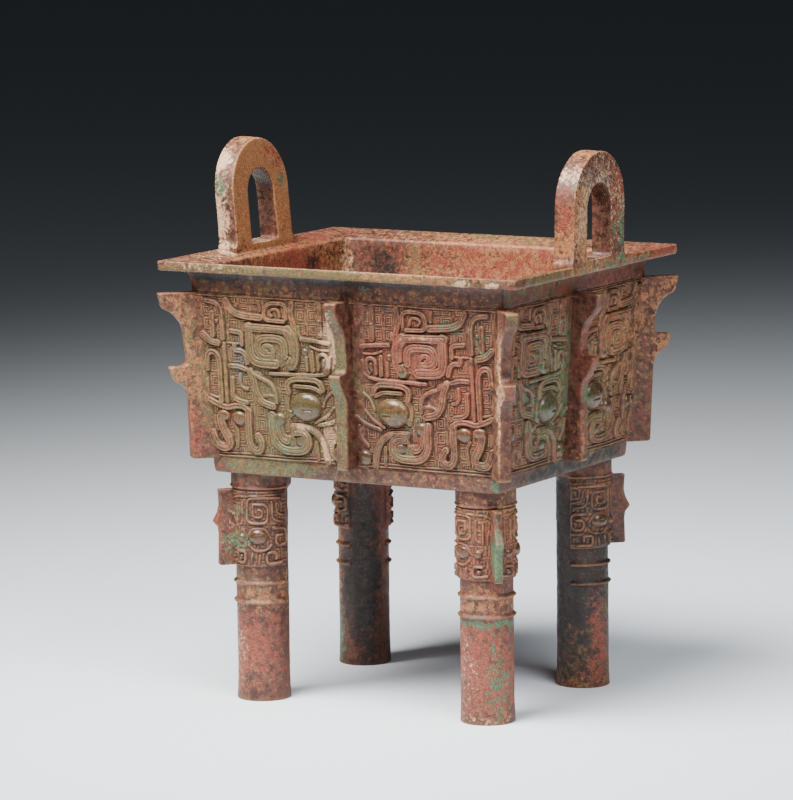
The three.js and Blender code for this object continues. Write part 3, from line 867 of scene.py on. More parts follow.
def carved_panel(quarter_turns, side, step):
    across, up = panel_grid(quarter_turns, step)
    place = wall_place(quarter_turns)
    flat = place(np.zeros(across.size), side * across.ravel(), BODY_BOTTOM + up.ravel())
    squeezed = DRAGON_EDGE + (across - DRAGON_EDGE) / SHORT_WALL_DRAGON
    on_short = (across > DRAGON_EDGE) & (quarter_turns % 2 == 1)
    drawn = np.where(on_short, squeezed, across)
    waver = 0.4 * grain(flat, 23, 11).reshape(across.shape)
    waver_up = 0.4 * grain(flat, 23, 12).reshape(across.shape)
    relief = Relief(drawn + waver, up + waver_up)
    carve_half_mask(relief)
    for line_up in (12.7, 14.9, 124.4):
        relief.stroke([(0, line_up), (130, line_up)], 1.2, 1.1, shoulder=0.45)
    column, row = np.meshgrid(np.arange(across.shape[1]), np.arange(across.shape[0]))
    lines = spiral_ground(column, row, SPIRAL_CELL, SPIRAL_CELL + 2)
    filled = 0.8 + 0.2 * grain(flat, 13, 13).reshape(across.shape)
    room = smooth(0.3, 0.8, relief.clear) * smooth(11.3, 12.2, relief.across)
    height = PANEL_GROUND + np.maximum(FORM_SHARE * relief.form, SPIRAL_HEIGHT * lines * filled * room)
    height = worn(height, flat, 14)
    front = place(height.ravel(), side * across.ravel(), BODY_BOTTOM + up.ravel())
    return front, height, relief.polish, place


def close_slab(front, rows, columns, root):
    """The faces of a slab: its carved front, a skirt down to the root points, and a flat back."""
    rim = list(range(columns))
    rim += [r * columns + columns - 1 for r in range(1, rows)]
    rim += [(rows - 1) * columns + c for c in range(columns - 2, -1, -1)]
    rim += [r * columns for r in range(rows - 2, 0, -1)]
    start, count = len(front), len(rim)
    faces = grid_faces(rows, columns)
    faces += [[rim[(i + 1) % count], rim[i], start + i, start + (i + 1) % count] for i in range(count)]
    faces.append([start + i for i in range(count)][::-1])
    return np.concatenate([front, root(front[rim])]), faces


def add_panel(label, quarter_turns, side, step):
    front, height, polish, place = carved_panel(quarter_turns, side, step)
    flat_wall = place(np.array([0.0, 1.0]), np.array([0.0, 0.0]), BODY_BOTTOM)
    outwards = flat_wall[1] - flat_wall[0]
    reach_of = HALF_LENGTH if quarter_turns % 2 else HALF_WIDTH

    def root(points):
        """The same points sunk three millimetres into the wall."""
        sink = points @ outwards - tapered(reach_of, points[:, 2]) + 3.0
        return points - outwards * sink[:, None]

    points, faces = close_slab(front, *height.shape, root)
    if side < 0:
        faces = [face[::-1] for face in faces]
    marks = {"hollow": depth(height, 4), "proud": depth(-height, 4), "polish": polish.ravel()}
    skirt = np.zeros(len(points) - len(front))
    piece_from(label, points, faces, {name: np.append(values, skirt) for name, values in marks.items()})
    print(label + ":", height.shape[0], "rows of", height.shape[1])


PANEL_STEP = {"front": 0.425, "right": 0.5, "back": 0.8, "left": 0.8}
for quarter_turns, (wall, step) in enumerate(PANEL_STEP.items()):
    for label, side in (("left", -1), ("right", 1)):
        add_panel(f"relief_{wall}_{label}", quarter_turns, side, step)

# %% [markdown]
# ## The mask on a leg
# A smaller mask wraps the upper part of each leg, its halves on either side of the leg's flange.
# The drawing is measured round from the flange and up from the floor: a horn wound in nested
# squares, an eye with its pupil, an ear, a nostril and the curls of the jaw.

# %% Half a leg mask


def carve_leg_mask(relief):
    stroke, dome, pit = relief.stroke, relief.dome, relief.pit
    stroke([(0, 141), (6.5, 144), (44, 146)], 1.3, 1.1, 4, shoulder=0.5)
    # horn in nested squares, and the two hooks beside it
    stroke([(40, 143.6), (16.6, 143.4), (16.2, 127.4), (30.5, 127.2), (30.8, 139.4), (20.8, 139.6)],
           1.9, 1.5, 4)
    stroke([(20.6, 139.6), (20.4, 131), (26.8, 131), (26.9, 136), (24, 136)], 1.7, 1.4, 2.5)
    stroke([(33.6, 141), (34.2, 129), (42, 128)], 1.8, 1.2, 4)
    stroke([(37, 140.4), (37.6, 133), (44, 132)], 1.6, 1.1, 3)
    stroke([(12.6, 140.6), (12.4, 126.8), (9.4, 126)], 1.9, 1.3, 2.5)
    stroke([(7.4, 139.8), (7.6, 125)], 1.8, 1.0)
    # eye under its brow, with the knob towards the nose
    dome((24, 118.6), 6.6, 4.8, 3.2, 2.2)
    stroke([(15.4, 117), (19.8, 123.8), (29, 124), (32.6, 118)], 1.7, 1.3, 3)
    pit([(22.4, 119.2), (25.6, 119.4)], 1.3, 0.7)
    dome((11.2, 117.6), 3.0, 3.0, 2.3)
    # ear folded round a dark curl
    stroke([(34.6, 124), (44.6, 123.4), (45.4, 113.6), (37, 112.6), (36, 119.4), (41, 119.6)], 2.2, 1.7, 3)
    # cheek, jaw curls and nostril
    stroke([(17.4, 113.4), (21.6, 109.6), (30, 110.2), (33.4, 113.6)], 1.9, 1.4, 3)
    stroke([(5, 103), (14.8, 101.8), (15.2, 109.4), (8.6, 109.2)], 2.2, 1.8, 3)
    dome((10.8, 105.4), 2.2, 2.0, 1.8)
    stroke([(19.4, 102.6), (20, 107.6)], 2.0, 1.5)
    stroke([(40.6, 102.2), (30.4, 101.4), (29.8, 108.6), (36.6, 108.8), (36.4, 105)], 2.4, 1.9, 3)
    stroke([(24.8, 102), (25.2, 107)], 1.8, 1.2)


print("half a leg mask is a list of strokes and domes too")

# %% [markdown]
# ## Building the legs
# The rings of points lie closer where the mask is, because its carving is fine, and far apart on
# the plain shaft. Under the body the leg goes on a little way, so that the two skins overlap.

# %% Legs
LEG_SPIRAL = 13
LEG_SPIRAL_HEIGHT = 0.5


def leg_heights(fine, drop):
    """Heights of the rings, and how much each is shrunk to close and round the foot."""
    start, end = LEG_MASK["bottom"] - drop - 1.5, LEG_RIDGE["at"] + 1.5
    first_ring = LEG_RINGS[0] - drop - 3
    foot = [0.0, 0.0, 0.0, 0.25, 0.8, 1.5]
    shrink = [0.05, 0.6, 0.955, 0.985, 0.997, 1.0]
    shaft = list(np.arange(2.4, first_ring, 2.0)) + list(np.arange(first_ring, start, 0.8))
    mask = list(np.arange(start, end, fine))
    top = list(np.arange(end, BODY_BOTTOM + 2.5, 1.2))
    heights = foot + shaft + mask + top
    return np.array(heights), np.array(shrink + [1.0] * (len(heights) - len(shrink)))


def leg_carving(around, z, rough, drop, fine):
    """The height of the mask's carving, drawn round from the flange and up from the floor."""
    waver = 0.3 * grain(rough, 15, 21).reshape(z.shape)
    mask_height = LEG_MASK["top"] - LEG_MASK["bottom"]
    stretched = LEG_MASK["top"] - (LEG_MASK["top"] - z) * mask_height / (mask_height + drop)
    relief = Relief(around + waver, stretched + waver)
    carve_leg_mask(relief)
    row = np.floor((z - LEG_MASK["bottom"]) / fine).astype(int)
    column = np.broadcast_to(np.arange(z.shape[1]), z.shape)
    lines = spiral_ground(column, row, LEG_SPIRAL, LEG_SPIRAL)
    room = smooth(0.3, 0.8, relief.clear)
    return np.maximum(relief.form, LEG_SPIRAL_HEIGHT * lines * room), relief.polish


def leg(label, side_x, side_y, drop, fine):
    heights, shrink = leg_heights(fine, drop)
    count = int(2 * math.pi * LEG["mask"] / fine)
    turn = (np.arange(count) / count * 2 * math.pi + math.pi) % (2 * math.pi) - math.pi
    angle, z = np.meshgrid(turn, heights)
    bare, extra, in_mask = leg_outline(z, drop)
    degrees = np.degrees(np.abs(angle))
    carved_side = 1 - smooth(LEG_BARE_FROM - 1.5, LEG_BARE_FROM + 1.5, degrees)
    facing = math.atan2(side_y, side_x)
    direction = np.stack([np.cos(angle + facing), np.sin(angle + facing)], -1)
    centre = np.array([side_x * LEG["x"], side_y * LEG["y"]])
    rough = np.column_stack([(centre + direction * bare[..., None]).reshape(-1, 2), z.ravel()])
    carved, polish = leg_carving(np.radians(degrees) * LEG["mask"], z, rough, drop, fine)
    height = (extra + carved * in_mask) * carved_side
    uneven = 0.2 * grain(rough, 21, 24).reshape(z.shape)
    radius = (bare + worn(height, rough, 22) + uneven) * shrink[:, None]
    points = np.column_stack([(centre + direction * radius[..., None]).reshape(-1, 2), z.ravel()])
    faces = grid_faces(len(heights), count, closed=True)
    last = (len(heights) - 1) * count
    faces += [list(range(count))[::-1], list(range(last, last + count))]
    marks = {"hollow": depth(height, 3), "proud": depth(-height, 3), "polish": (polish * in_mask).ravel()}
    piece_from("leg_" + label, points, faces, marks)
    print("leg_" + label + ":", len(faces), "faces")


LEG_FINE = {"front_right": 0.62, "front_left": 0.62, "back_right": 0.85, "back_left": 1.0}
for label, (side_x, side_y, _, drop) in CORNERS.items():
    leg(label, side_x, side_y, drop, LEG_FINE[label])

# %% [markdown]
# ## Leg flanges
# Each leg mask has its own small flange, with one point standing out near the middle.

# %% Leg flanges
LEG_FLANGE = {"thickness": 5.6, "reach": 31.0, "peak": 34.6, "peak_at": 126.0, "nose": 1.0, "root": 16.0}


def leg_flange(label, side_x, side_y, drop):
    reach, peak, peak_at = LEG_FLANGE["reach"], LEG_FLANGE["peak"], LEG_FLANGE["peak_at"]
    low, top = LEG_MASK["bottom"] - drop, LEG_MASK["top"]
    view = densified(
        [
            (low, reach - 0.6),
            (low + 0.6, reach),
            (peak_at - 9, reach - 0.5),
            (peak_at - 4.5, reach + 0.2),
            (peak_at - 1.2, peak - 0.5),
            (peak_at, peak),
            (peak_at + 1, peak - 0.6),
            (peak_at + 6, reach + 0.4),
            (peak_at + 11, reach - 0.8),
            (top - 4, reach - 0.4),
            (top - 0.6, reach),
            (top, reach - 0.6),
        ],
        1.1,
    )
    half, nose, root = LEG_FLANGE["thickness"] / 2, LEG_FLANGE["nose"], LEG_FLANGE["root"]
    facing = math.atan2(side_y, side_x)
    rings = []
    for z, out_to in view:
        bend = np.linspace(0, math.pi / 2, 4)[1:]
        run = np.linspace(root, out_to - nose, 14)
        outs = np.concatenate([run, out_to - nose + nose * np.sin(bend)])
        besides = np.concatenate([np.full(14, half), half - nose + nose * np.cos(bend)])
        outs = np.concatenate([outs, [out_to], outs[::-1]])
        besides = np.concatenate([besides, [0], -besides[::-1]])
        x = side_x * LEG["x"] + outs * math.cos(facing) - besides * math.sin(facing)
        y = side_y * LEG["y"] + outs * math.sin(facing) + besides * math.cos(facing)
        rings.append(np.column_stack([x, y, np.full(len(x), z)]))
    points, faces = skin(rings)
    piece_from("leg_flange_" + label, points, faces)
    print("leg_flange_" + label + ":", len(faces), "faces")


for label, (side_x, side_y, _, drop) in CORNERS.items():
    leg_flange(label, side_x, side_y, drop)

# %% [markdown]
# ## Where the patina changes
# Three thousand years in the ground gave the bronze many skins: brown and maroon, olive, bright
# malachite green, red cuprite, tan and cream crusts, and a near-black soot, which also serves as
# painted shade under the rim and the body, under the flange hooks and on the shaded sides of legs
# and flanges. They could be painted by hand. Here every skin has a weight at each point of a piece,
# made from soft patches that have a place, a reach and sometimes a direction they face, and the
# material turns the weights into crusts with broken edges. The hollows, the ridges and the sharp
# edges are stored in the same way.

# %% Directions and patches
FRONT, RIGHT, BACK, LEFT, UP, DOWN = (0, -1, 0), (1, 0, 0), (0, 1, 0), (-1, 0, 0), (0, 0, 1), (0, 0, -1)
OUT_FRONT_LEFT, OUT_FRONT_RIGHT = (-0.7, -0.7, 0), (0.7, -0.7, 0)
EVERYWHERE = {"olive": 0.26, "grey": 0.0, "tan": 0.2, "red": 0.22, "green": 0.2, "pale": 0.06, "soot_and_shade": 0.0}

# one row: the skin, how strongly, the middle, the reach along x, y and z, and the side it faces
WALL_PATCHES = [
    # left half of the front wall: olive, with tan ridges above and cream beside the nose ridge
    ("olive", 0.62, (-62, -100, 222), (60, 14, 66), FRONT),
    ("tan", 0.3, (-60, -103, 274), (60, 14, 16), FRONT),
    ("tan", 0.2, (-100, -99, 210), (16, 14, 50), FRONT),
    ("grey", 0.62, (-86, -102, 240), (7, 14, 22), FRONT),
    ("grey", 0.3, (-34, -103, 255), (10, 14, 18), FRONT),
    ("pale", 0.85, (-13, -102, 254), (7, 16, 19), FRONT),
    ("pale", 0.7, (-17, -99, 188), (7, 16, 18), FRONT),
    ("pale", 0.5, (-38, -99, 199), (10, 14, 7), FRONT),
    ("green", 0.4, (-62, -98, 200), (8, 14, 7), FRONT),
    ("green", 0.3, (-48, -98, 180), (20, 14, 9), FRONT),
    ("red", 0.25, (-92, -98, 196), (18, 14, 12), FRONT),
    # right half of the front wall: red and brown, greener on leaf, knobs and jaw
    ("red", 0.36, (52, -102, 250), (58, 14, 30), FRONT),
    ("red", 0.3, (96, -100, 215), (14, 14, 40), FRONT),
    ("red", 0.3, (58, -99, 190), (12, 14, 22), FRONT),
    ("tan", 0.22, (68, -101, 235), (56, 14, 60), FRONT),
    ("olive", 0.4, (34, -100, 214), (22, 14, 16), FRONT),
    ("olive", 0.3, (40, -98, 182), (24, 14, 9), FRONT),
    ("olive", 0.26, (95, -98, 185), (18, 14, 20), FRONT),
    ("green", 0.34, (83, -104, 272), (13, 14, 6), FRONT),
    ("green", 0.4, (43, -101, 239), (6, 14, 5), FRONT),
    ("green", 0.3, (104, -102, 262), (8, 14, 16), FRONT),
    ("green", 0.28, (52, -99, 205), (9, 14, 8), FRONT),
    ("pale", 0.35, (60, -105, 264), (22, 14, 4), FRONT),
    ("red", -0.3, (6, -100, 230), (7, 14, 70), FRONT),
    # right wall: dull green, with reddish tan lines
    ("green", 0.34, (118, -30, 225), (14, 60, 56), RIGHT),
    ("olive", 0.3, (118, 30, 225), (14, 70, 60), RIGHT),
    ("grey", 0.3, (120, -45, 222), (14, 24, 36), RIGHT),
    ("tan", 0.3, (120, 60, 250), (14, 36, 40), RIGHT),
    ("red", 0.22, (120, 20, 262), (14, 60, 24), RIGHT),
    ("green", 0.4, (117, 8, 212), (14, 14, 12), RIGHT),
    # walls away from the front: brown with broad green and olive fields
    ("olive", 0.32, (-30, 100, 225), (90, 16, 50), BACK),
    ("green", 0.34, (60, 98, 200), (50, 16, 36), BACK),
    ("tan", 0.25, (-70, 102, 262), (50, 16, 30), BACK),
    ("olive", 0.3, (-118, -20, 235), (16, 70, 40), LEFT),
    ("green", 0.32, (-116, 50, 200), (16, 40, 30), LEFT),
    ("red", 0.3, (-118, -50, 205), (16, 40, 30), LEFT),
]
print(len(WALL_PATCHES), "patches on the walls")

# %% Patches on the plain bands, the rim and the inside
BAND_PATCHES = [
    # base band, under the masks
    ("olive", 0.3, (-66, -94, 166), (46, 10, 8), FRONT),
    ("soot_and_shade", 0.36, (0, -94, 165), (130, 10, 9), FRONT),
    ("soot_and_shade", 0.4, (112, 0, 165), (10, 110, 9), RIGHT),
    ("green", 0.16, (-70, -94, 166), (50, 10, 8), FRONT),
    ("tan", 0.14, (56, -94, 166), (60, 10, 8), FRONT),
    ("green", 0.1, (40, -94, 166), (70, 10, 8), FRONT),
    ("green", 0.5, (112, -94, 165), (6, 10, 5), FRONT),
    ("soot_and_shade", 0.3, (112, 0, 166), (10, 90, 8), RIGHT),
    ("olive", 0.4, (112, 20, 166), (10, 60, 8), RIGHT),
    # neck: brown red, darkened by painted shade from the rim above, lighter low down and nearly black under
    # the rim at the left
    ("tan", 0.14, (10, -105, 291), (120, 9, 5), FRONT),
    ("soot_and_shade", 0.2, (0, -106, 294), (130, 9, 9), FRONT),
    ("grey", 0.36, (14, -106, 293), (7, 9, 7), FRONT),
    ("grey", 0.3, (-4, -106, 297), (60, 9, 4), FRONT),
    ("soot_and_shade", 0.75, (-104, -106, 299), (22, 9, 6), FRONT),
    ("soot_and_shade", 0.5, (-40, -107, 300), (90, 9, 5), FRONT),
    ("soot_and_shade", 0.4, (60, -107, 300), (90, 9, 4), FRONT),
    ("red", 0.3, (123, 20, 294), (9, 100, 9), RIGHT),
    ("olive", 0.3, (123, -40, 294), (9, 60, 9), RIGHT),
    # the rim's underside: painted shade, over a real red skin
    ("soot_and_shade", 0.3, (0, 0, 301.8), (160, 140, 1.5), DOWN),
    ("red", 0.3, (0, 0, 301.8), (160, 140, 1.5), DOWN),
    # painted shade on the underside of the body
    ("soot_and_shade", 0.5, (0, 0, 160.4), (130, 100, 3), DOWN),
    # edge of the rim: olive, with tan and cream, red at the far right corner
    ("olive", 0.55, (-20, -119, 305), (130, 5, 6), FRONT),
    ("pale", 0.3, (-100, -119, 305), (44, 5, 6), FRONT),
    ("tan", 0.36, (60, -119, 304), (50, 5, 6), FRONT),
    ("pale", 0.8, (98, -119, 304), (7, 5, 4), FRONT),
    ("pale", 0.8, (121, -119, 303), (6, 5, 3), FRONT),
    ("olive", 0.35, (140, -60, 305), (5, 60, 6), RIGHT),
    ("green", 0.3, (140, 20, 305), (5, 60, 6), RIGHT),
    ("red", 0.45, (140, 100, 305), (5, 22, 6), RIGHT),
    ("tan", 0.3, (140, 30, 305), (5, 90, 6), RIGHT),
    # top of the rim
    ("tan", 0.42, (0, 0, 307), (170, 140, 6), UP),
    ("pale", 0.3, (-130, -60, 307), (16, 60, 6), UP),
    ("olive", 0.32, (20, 112, 307), (90, 12, 6), UP),
    ("red", 0.3, (126, 60, 307), (24, 60, 6), UP),
    ("red", 0.3, (-128, 60, 307), (14, 50, 6), UP),
    # inside: terracotta, a pale corner with a brown stain beside it, soot by the left handle
    ("tan", 0.5, (30, 97, 275), (100, 10, 60), FRONT),
    ("red", 0.3, (20, 97, 290), (100, 10, 24), FRONT),
    ("tan", 0.4, (-115, 30, 275), (10, 90, 60), RIGHT),
    ("red", 0.5, (-116, 20, 288), (10, 46, 22), RIGHT),
    ("soot_and_shade", 0.6, (-116, 46, 288), (10, 16, 14), RIGHT),
    ("soot_and_shade", 0.45, (-116, 12, 296), (10, 14, 7), RIGHT),
    ("pale", 0.5, (-112, 92, 280), (7, 7, 30), None),
    ("soot_and_shade", 0.62, (-86, 97, 284), (15, 9, 20), FRONT),
    ("olive", 0.4, (-60, 97, 283), (9, 9, 22), FRONT),
    ("tan", 0.4, (0, 0, 166), (120, 100, 12), UP),
    ("green", 0.3, (20, -20, 166), (70, 50, 12), UP),
    ("tan", 0.35, (116, 0, 240), (8, 90, 90), LEFT),
    ("tan", 0.35, (0, -97, 240), (110, 8, 90), BACK),
]
print(len(BAND_PATCHES), "patches on bands, rim and inside")

# %% Patches on handles and flanges
FITTING_PATCHES = [
    # left handle: pinkish white above, pale green in the middle, cream below; tan inner face
    ("pale", 0.62, (-143, -34, 372), (12, 14, 12), FRONT),
    ("green", 0.4, (-143, -38, 352), (12, 10, 14), FRONT),
    ("grey", 0.46, (-143, -38, 348), (12, 10, 16), FRONT),
    ("pale", 0.5, (-143, -38, 326), (12, 10, 16), FRONT),
    ("olive", 0.3, (-148, -38, 330), (6, 12, 30), FRONT),
    ("tan", 0.46, (-128, 0, 345), (10, 50, 50), RIGHT),
    ("red", 0.26, (-128, 22, 372), (10, 22, 16), RIGHT),
    ("green", 0.4, (-128, 28, 352), (10, 5, 6), RIGHT),
    ("pale", 0.55, (-136, 0, 311), (14, 22, 3), UP),
    ("pale", 0.4, (-134, -38, 309), (14, 10, 5), None),
    ("tan", 0.4, (-138, 0, 384), (16, 36, 10), UP),
    ("pale", 0.3, (-138, 0, 384), (16, 36, 10), UP),
    # painted shade on the underside of the arch over the slot
    ("soot_and_shade", 0.4, (-138, 0, 362), (12, 12, 5), DOWN),
    ("olive", 0.3, (-148, 0, 345), (8, 40, 50), LEFT),
    # right handle: pink cream above, tan below with an orange rust spot; blue grey inner face
    ("pale", 0.5, (133, -32, 374), (14, 14, 12), FRONT),
    ("red", 0.36, (133, -38, 348), (14, 10, 20), FRONT),
    ("tan", 0.42, (133, -38, 326), (14, 10, 20), FRONT),
    ("grey", 0.46, (140, 0, 366), (8, 40, 20), RIGHT),
    ("red", 0.34, (140, 28, 350), (8, 16, 30), RIGHT),
    ("tan", 0.4, (140, -24, 335), (8, 16, 30), RIGHT),
    ("green", 0.36, (140, 30, 330), (8, 12, 20), RIGHT),
    ("pale", 0.4, (133, 0, 311), (14, 22, 3), UP),
    ("tan", 0.4, (133, 0, 384), (16, 36, 10), UP),
    # flange at the near corner: cream side to the left, partly painted light falling from the left, dark red
    # nose, olive hooks, painted shade under the hooks
    ("pale", 0.55, (124, -112, 230), (10, 10, 56), OUT_FRONT_LEFT),
    ("tan", 0.3, (124, -112, 230), (10, 10, 60), OUT_FRONT_LEFT),
    ("red", 0.34, (136, -116, 215), (10, 10, 60), OUT_FRONT_RIGHT),
    # painted shade under the top hook and under the second hook
    ("soot_and_shade", 0.46, (137, -118, 265), (9, 9, 18), OUT_FRONT_RIGHT),
    ("soot_and_shade", 0.4, (133, -114, 212), (9, 9, 26), OUT_FRONT_RIGHT),
    ("olive", 0.4, (140, -121, 282), (6, 6, 6), OUT_FRONT_RIGHT),
    ("olive", 0.4, (134, -116, 234), (6, 6, 5), OUT_FRONT_RIGHT),
    # middle flange of the front: olive nose, cream hooks, dark red right side
    ("olive", 0.55, (0, -118, 225), (5, 14, 66), FRONT),
    ("olive", 0.35, (-5, -112, 225), (4, 14, 66), LEFT),
    ("pale", 0.5, (-4, -118, 252), (5, 14, 12), LEFT),
    ("pale", 0.4, (-4, -120, 278), (6, 14, 8), FRONT),
    ("green", 0.2, (0, -118, 225), (5, 14, 66), FRONT),
    # painted shade on the side that looks right, away from the key light
    ("soot_and_shade", 0.3, (5, -112, 225), (4, 14, 66), RIGHT),
    # far left flange: olive above, orange red below
    ("olive", 0.4, (-134, -112, 250), (16, 16, 36), None),
    ("tan", 0.4, (-130, -112, 230), (16, 16, 60), None),
    ("red", 0.4, (-128, -110, 190), (16, 16, 24), None),
    # right middle flange and far right flange
    ("red", 0.3, (136, 0, 225), (14, 8, 60), None),
    # painted shade in the notch under the top hook
    ("soot_and_shade", 0.25, (136, 0, 268), (14, 8, 18), None),
    ("tan", 0.35, (136, -4, 188), (14, 8, 20), None),
    ("tan", 0.5, (136, 118, 240), (14, 14, 60), None),
    ("red", 0.35, (134, 114, 190), (14, 14, 22), None),
    # both handles: a lighter crust over the faces that look right, and on the left one's front
    ("tan", 0.4, (-131, 0, 345), (14, 52, 50), RIGHT),
    ("pale", 0.16, (-131, 0, 350), (14, 52, 44), RIGHT),
    ("pale", 0.44, (136, 0, 345), (14, 52, 50), RIGHT),
    ("tan", 0.2, (136, 0, 345), (14, 52, 50), RIGHT),
    ("pale", 0.34, (-143, -38, 345), (14, 14, 46), FRONT),
]
print(len(FITTING_PATCHES), "patches on handles and flanges")

# %% Patches on the legs
near_x, far_x, near_y, far_y = LEG["x"], -LEG["x"], -LEG["y"], LEG["y"]
LEG_PATCHES = [
    # near leg: tan collar and mask, green flange nose, brick red shaft
    ("tan", 0.4, (near_x, near_y, 140), (30, 30, 22), None),
    ("red", 0.3, (near_x, near_y, 120), (30, 30, 30), None),
    ("green", 0.7, (near_x + 21, near_y - 21, 118), (9, 9, 16), None),
    ("tan", 0.4, (near_x, near_y, 84), (26, 26, 10), None),
    ("green", 0.55, (near_x, near_y, 69), (26, 26, 4), None),
    ("red", 0.5, (near_x, near_y, 40), (26, 26, 40), None),
    ("tan", 0.25, (near_x, near_y, 30), (26, 26, 40), None),
    ("pale", 0.3, (near_x - 8, near_y - 14, 40), (12, 12, 30), None),
    ("green", 0.3, (near_x + 14, near_y - 10, 30), (8, 10, 30), None),
    ("pale", 0.3, (near_x, near_y, 4), (26, 26, 7), None),
    # front left leg: pinkish mask with teal, brick shaft with cream specks, maroon painted shade at the
    # right
    ("pale", 0.3, (far_x - 6, near_y - 12, 120), (18, 18, 26), None),
    ("green", 0.42, (far_x - 4, near_y - 18, 112), (10, 8, 9), None),
    ("green", 0.4, (far_x - 6, near_y - 16, 134), (8, 8, 5), None),
    ("tan", 0.42, (far_x, near_y, 80), (26, 26, 20), None),
    ("green", 0.3, (far_x - 6, near_y, 84), (24, 24, 10), None),
    ("red", 0.45, (far_x - 6, near_y, 40), (24, 26, 44), None),
    ("tan", 0.3, (far_x - 10, near_y, 26), (18, 26, 30), None),
    ("pale", 0.36, (far_x - 12, near_y - 6, 44), (10, 18, 40), None),
    ("red", 0.45, (far_x - 24, near_y - 22, 118), (12, 12, 26), None),
    ("soot_and_shade", 0.3, (far_x + 16, near_y - 4, 100), (8, 20, 60), None),
    # back right leg: near-black painted shade within and a lighter one over the whole leg, dark green shaft
    # with a pink stripe
    ("soot_and_shade", 0.5, (near_x - 12, far_y - 10, 100), (16, 16, 60), None),
    ("soot_and_shade", 0.5, (near_x, far_y, 80), (30, 30, 100), None),
    ("olive", 0.4, (near_x, far_y, 40), (26, 26, 44), None),
    ("soot_and_shade", 0.4, (near_x - 2, far_y - 10, 36), (14, 16, 40), None),
    ("red", 0.5, (near_x + 14, far_y - 6, 34), (7, 14, 40), None),
    ("red", 0.2, (near_x + 10, far_y, 124), (18, 24, 30), None),
    ("tan", 0.4, (near_x, far_y, 4), (26, 26, 8), None),
    # a thin dark film on both front legs, and more painted shade on the back right one
    ("soot_and_shade", 0.16, (near_x, near_y, 70), (30, 30, 90), None),
    ("soot_and_shade", 0.2, (far_x, near_y, 90), (30, 30, 70), None),
    ("soot_and_shade", 0.36, (near_x, far_y, 110), (30, 30, 60), None),
    # back left leg: painted shade on the bare side to the middle, tan strip at the left with some green
    ("soot_and_shade", 0.75, (far_x + 8, far_y - 14, 70), (20, 14, 100), None),
    ("tan", 0.4, (far_x - 16, far_y - 10, 70), (9, 14, 60), None),
    ("green", 0.6, (far_x - 14, far_y - 12, 20), (9, 12, 26), None),
    ("red", 0.3, (far_x + 20, far_y, 90), (8, 14, 60), None),
]
print(len(LEG_PATCHES), "patches on the legs")

# %% Weights of the skins
PATCHES = WALL_PATCHES + BAND_PATCHES + FITTING_PATCHES + LEG_PATCHES


def skin_weights(points, normals):
    """The weight of every skin at points in millimetres, with patches that waver as patina does."""
    waver = np.column_stack([grain(points, 16, seed) for seed in (31, 32, 33)])
    waver += 0.6 * np.column_stack([grain(points, 5, seed) for seed in (34, 35, 36)])
    wandered = points + 5 * waver
    weights = {skin: np.full(len(points), base) for skin, base in EVERYWHERE.items()}
    for skin_name, strength, middle, reach, facing in PATCHES:
        reach = np.array(reach, float)
        settled = np.where(reach < 10, 0.6 * points + 0.4 * wandered, wandered)
        far = np.sum(((settled - middle) / reach) ** 2, axis=1)
        share = np.exp(-np.minimum(far, 30) ** 1.5)
        if facing:
            share = share * smooth(0.1, 0.6, normals @ np.array(facing, float))
        weights[skin_name] += strength * share
    return weights


def edge_weight(mesh, points, normals):
    """How sharply the surface bends outwards at each point: the edges that the patina lightens with wear and
    a painted highlight.
    """
    ends = np.empty(2 * len(mesh.edges), np.int64)
    mesh.edges.foreach_get("vertices", ends)
    first, second = ends.reshape(-1, 2).T
    count = np.bincount(ends, minlength=len(points))
    around = np.zeros_like(points)
    for axis in range(3):
        around[:, axis] = np.bincount(first, points[second, axis], len(points))
        around[:, axis] += np.bincount(second, points[first, axis], len(points))
    length = np.linalg.norm(points[first] - points[second], axis=1)
    spacing = (np.bincount(first, length, len(points)) + np.bincount(second, length, len(points))) / count
    bend = np.sum((points - around / count[:, None]) * normals, axis=1) / spacing
    return np.clip(3.5 * bend, 0, 1)


def store(mesh, label, values):
    layer = mesh.attributes.new(label, "FLOAT", "POINT")
    layer.data.foreach_set("value", np.asarray(values, np.float32).ravel())


for made in pieces:
    mesh = made.data
    points = np.empty(3 * len(mesh.vertices))
    mesh.vertices.foreach_get("co", points)
    points = points.reshape(-1, 3) / MM - (AXIS_X, 0, 0)
    normals = np.empty(3 * len(mesh.vertices))
    mesh.vertex_normals.foreach_get("vector", normals)
    normals = normals.reshape(-1, 3)
    for skin_name, values in skin_weights(points, normals).items():
        store(mesh, skin_name, values)
    unmarked = np.zeros(len(points))
    marks = {name: carving[made.name].get(name, unmarked) for name in ("hollow", "proud", "polish")}
    marks["proud"] = np.maximum(marks["proud"], edge_weight(mesh, points, normals))
    for name, values in marks.items():
        store(mesh, name, values)
triangles = {made.name: sum(len(face.vertices) - 2 for face in made.data.polygons) for made in pieces}
print(sum(triangles.values()), "triangles in all, and at most", max(triangles.values()), "in a piece")

# %% [markdown]
# ## Patina
# The material starts as brown bronze and lays one skin over another. Each skin has a weight, and
# shows where its weight plus a noise of its own passes a threshold, so a strong patch closes up
# and a weak one breaks into specks. Over them come dirt and painted shade in the hollows, ridges
# and edges lightened by wear and a painted highlight, and small pits. The noises are
# three-dimensional, so nothing stretches over the edges.

# %% Nodes for the patina
patina = bpy.data.materials.new("patinated_bronze")
patina.use_nodes = True
nodes, links = patina.node_tree.nodes, patina.node_tree.links
shader = nodes["Principled BSDF"]
place_on_piece = nodes.new("ShaderNodeTexCoord").outputs["Object"]


def feed(socket, value):
    """Link a socket to another node's output, or set it to a number or a colour."""
    if isinstance(value, bpy.types.NodeSocket):
        links.new(value, socket)
    elif value is not None:
        socket.default_value = value


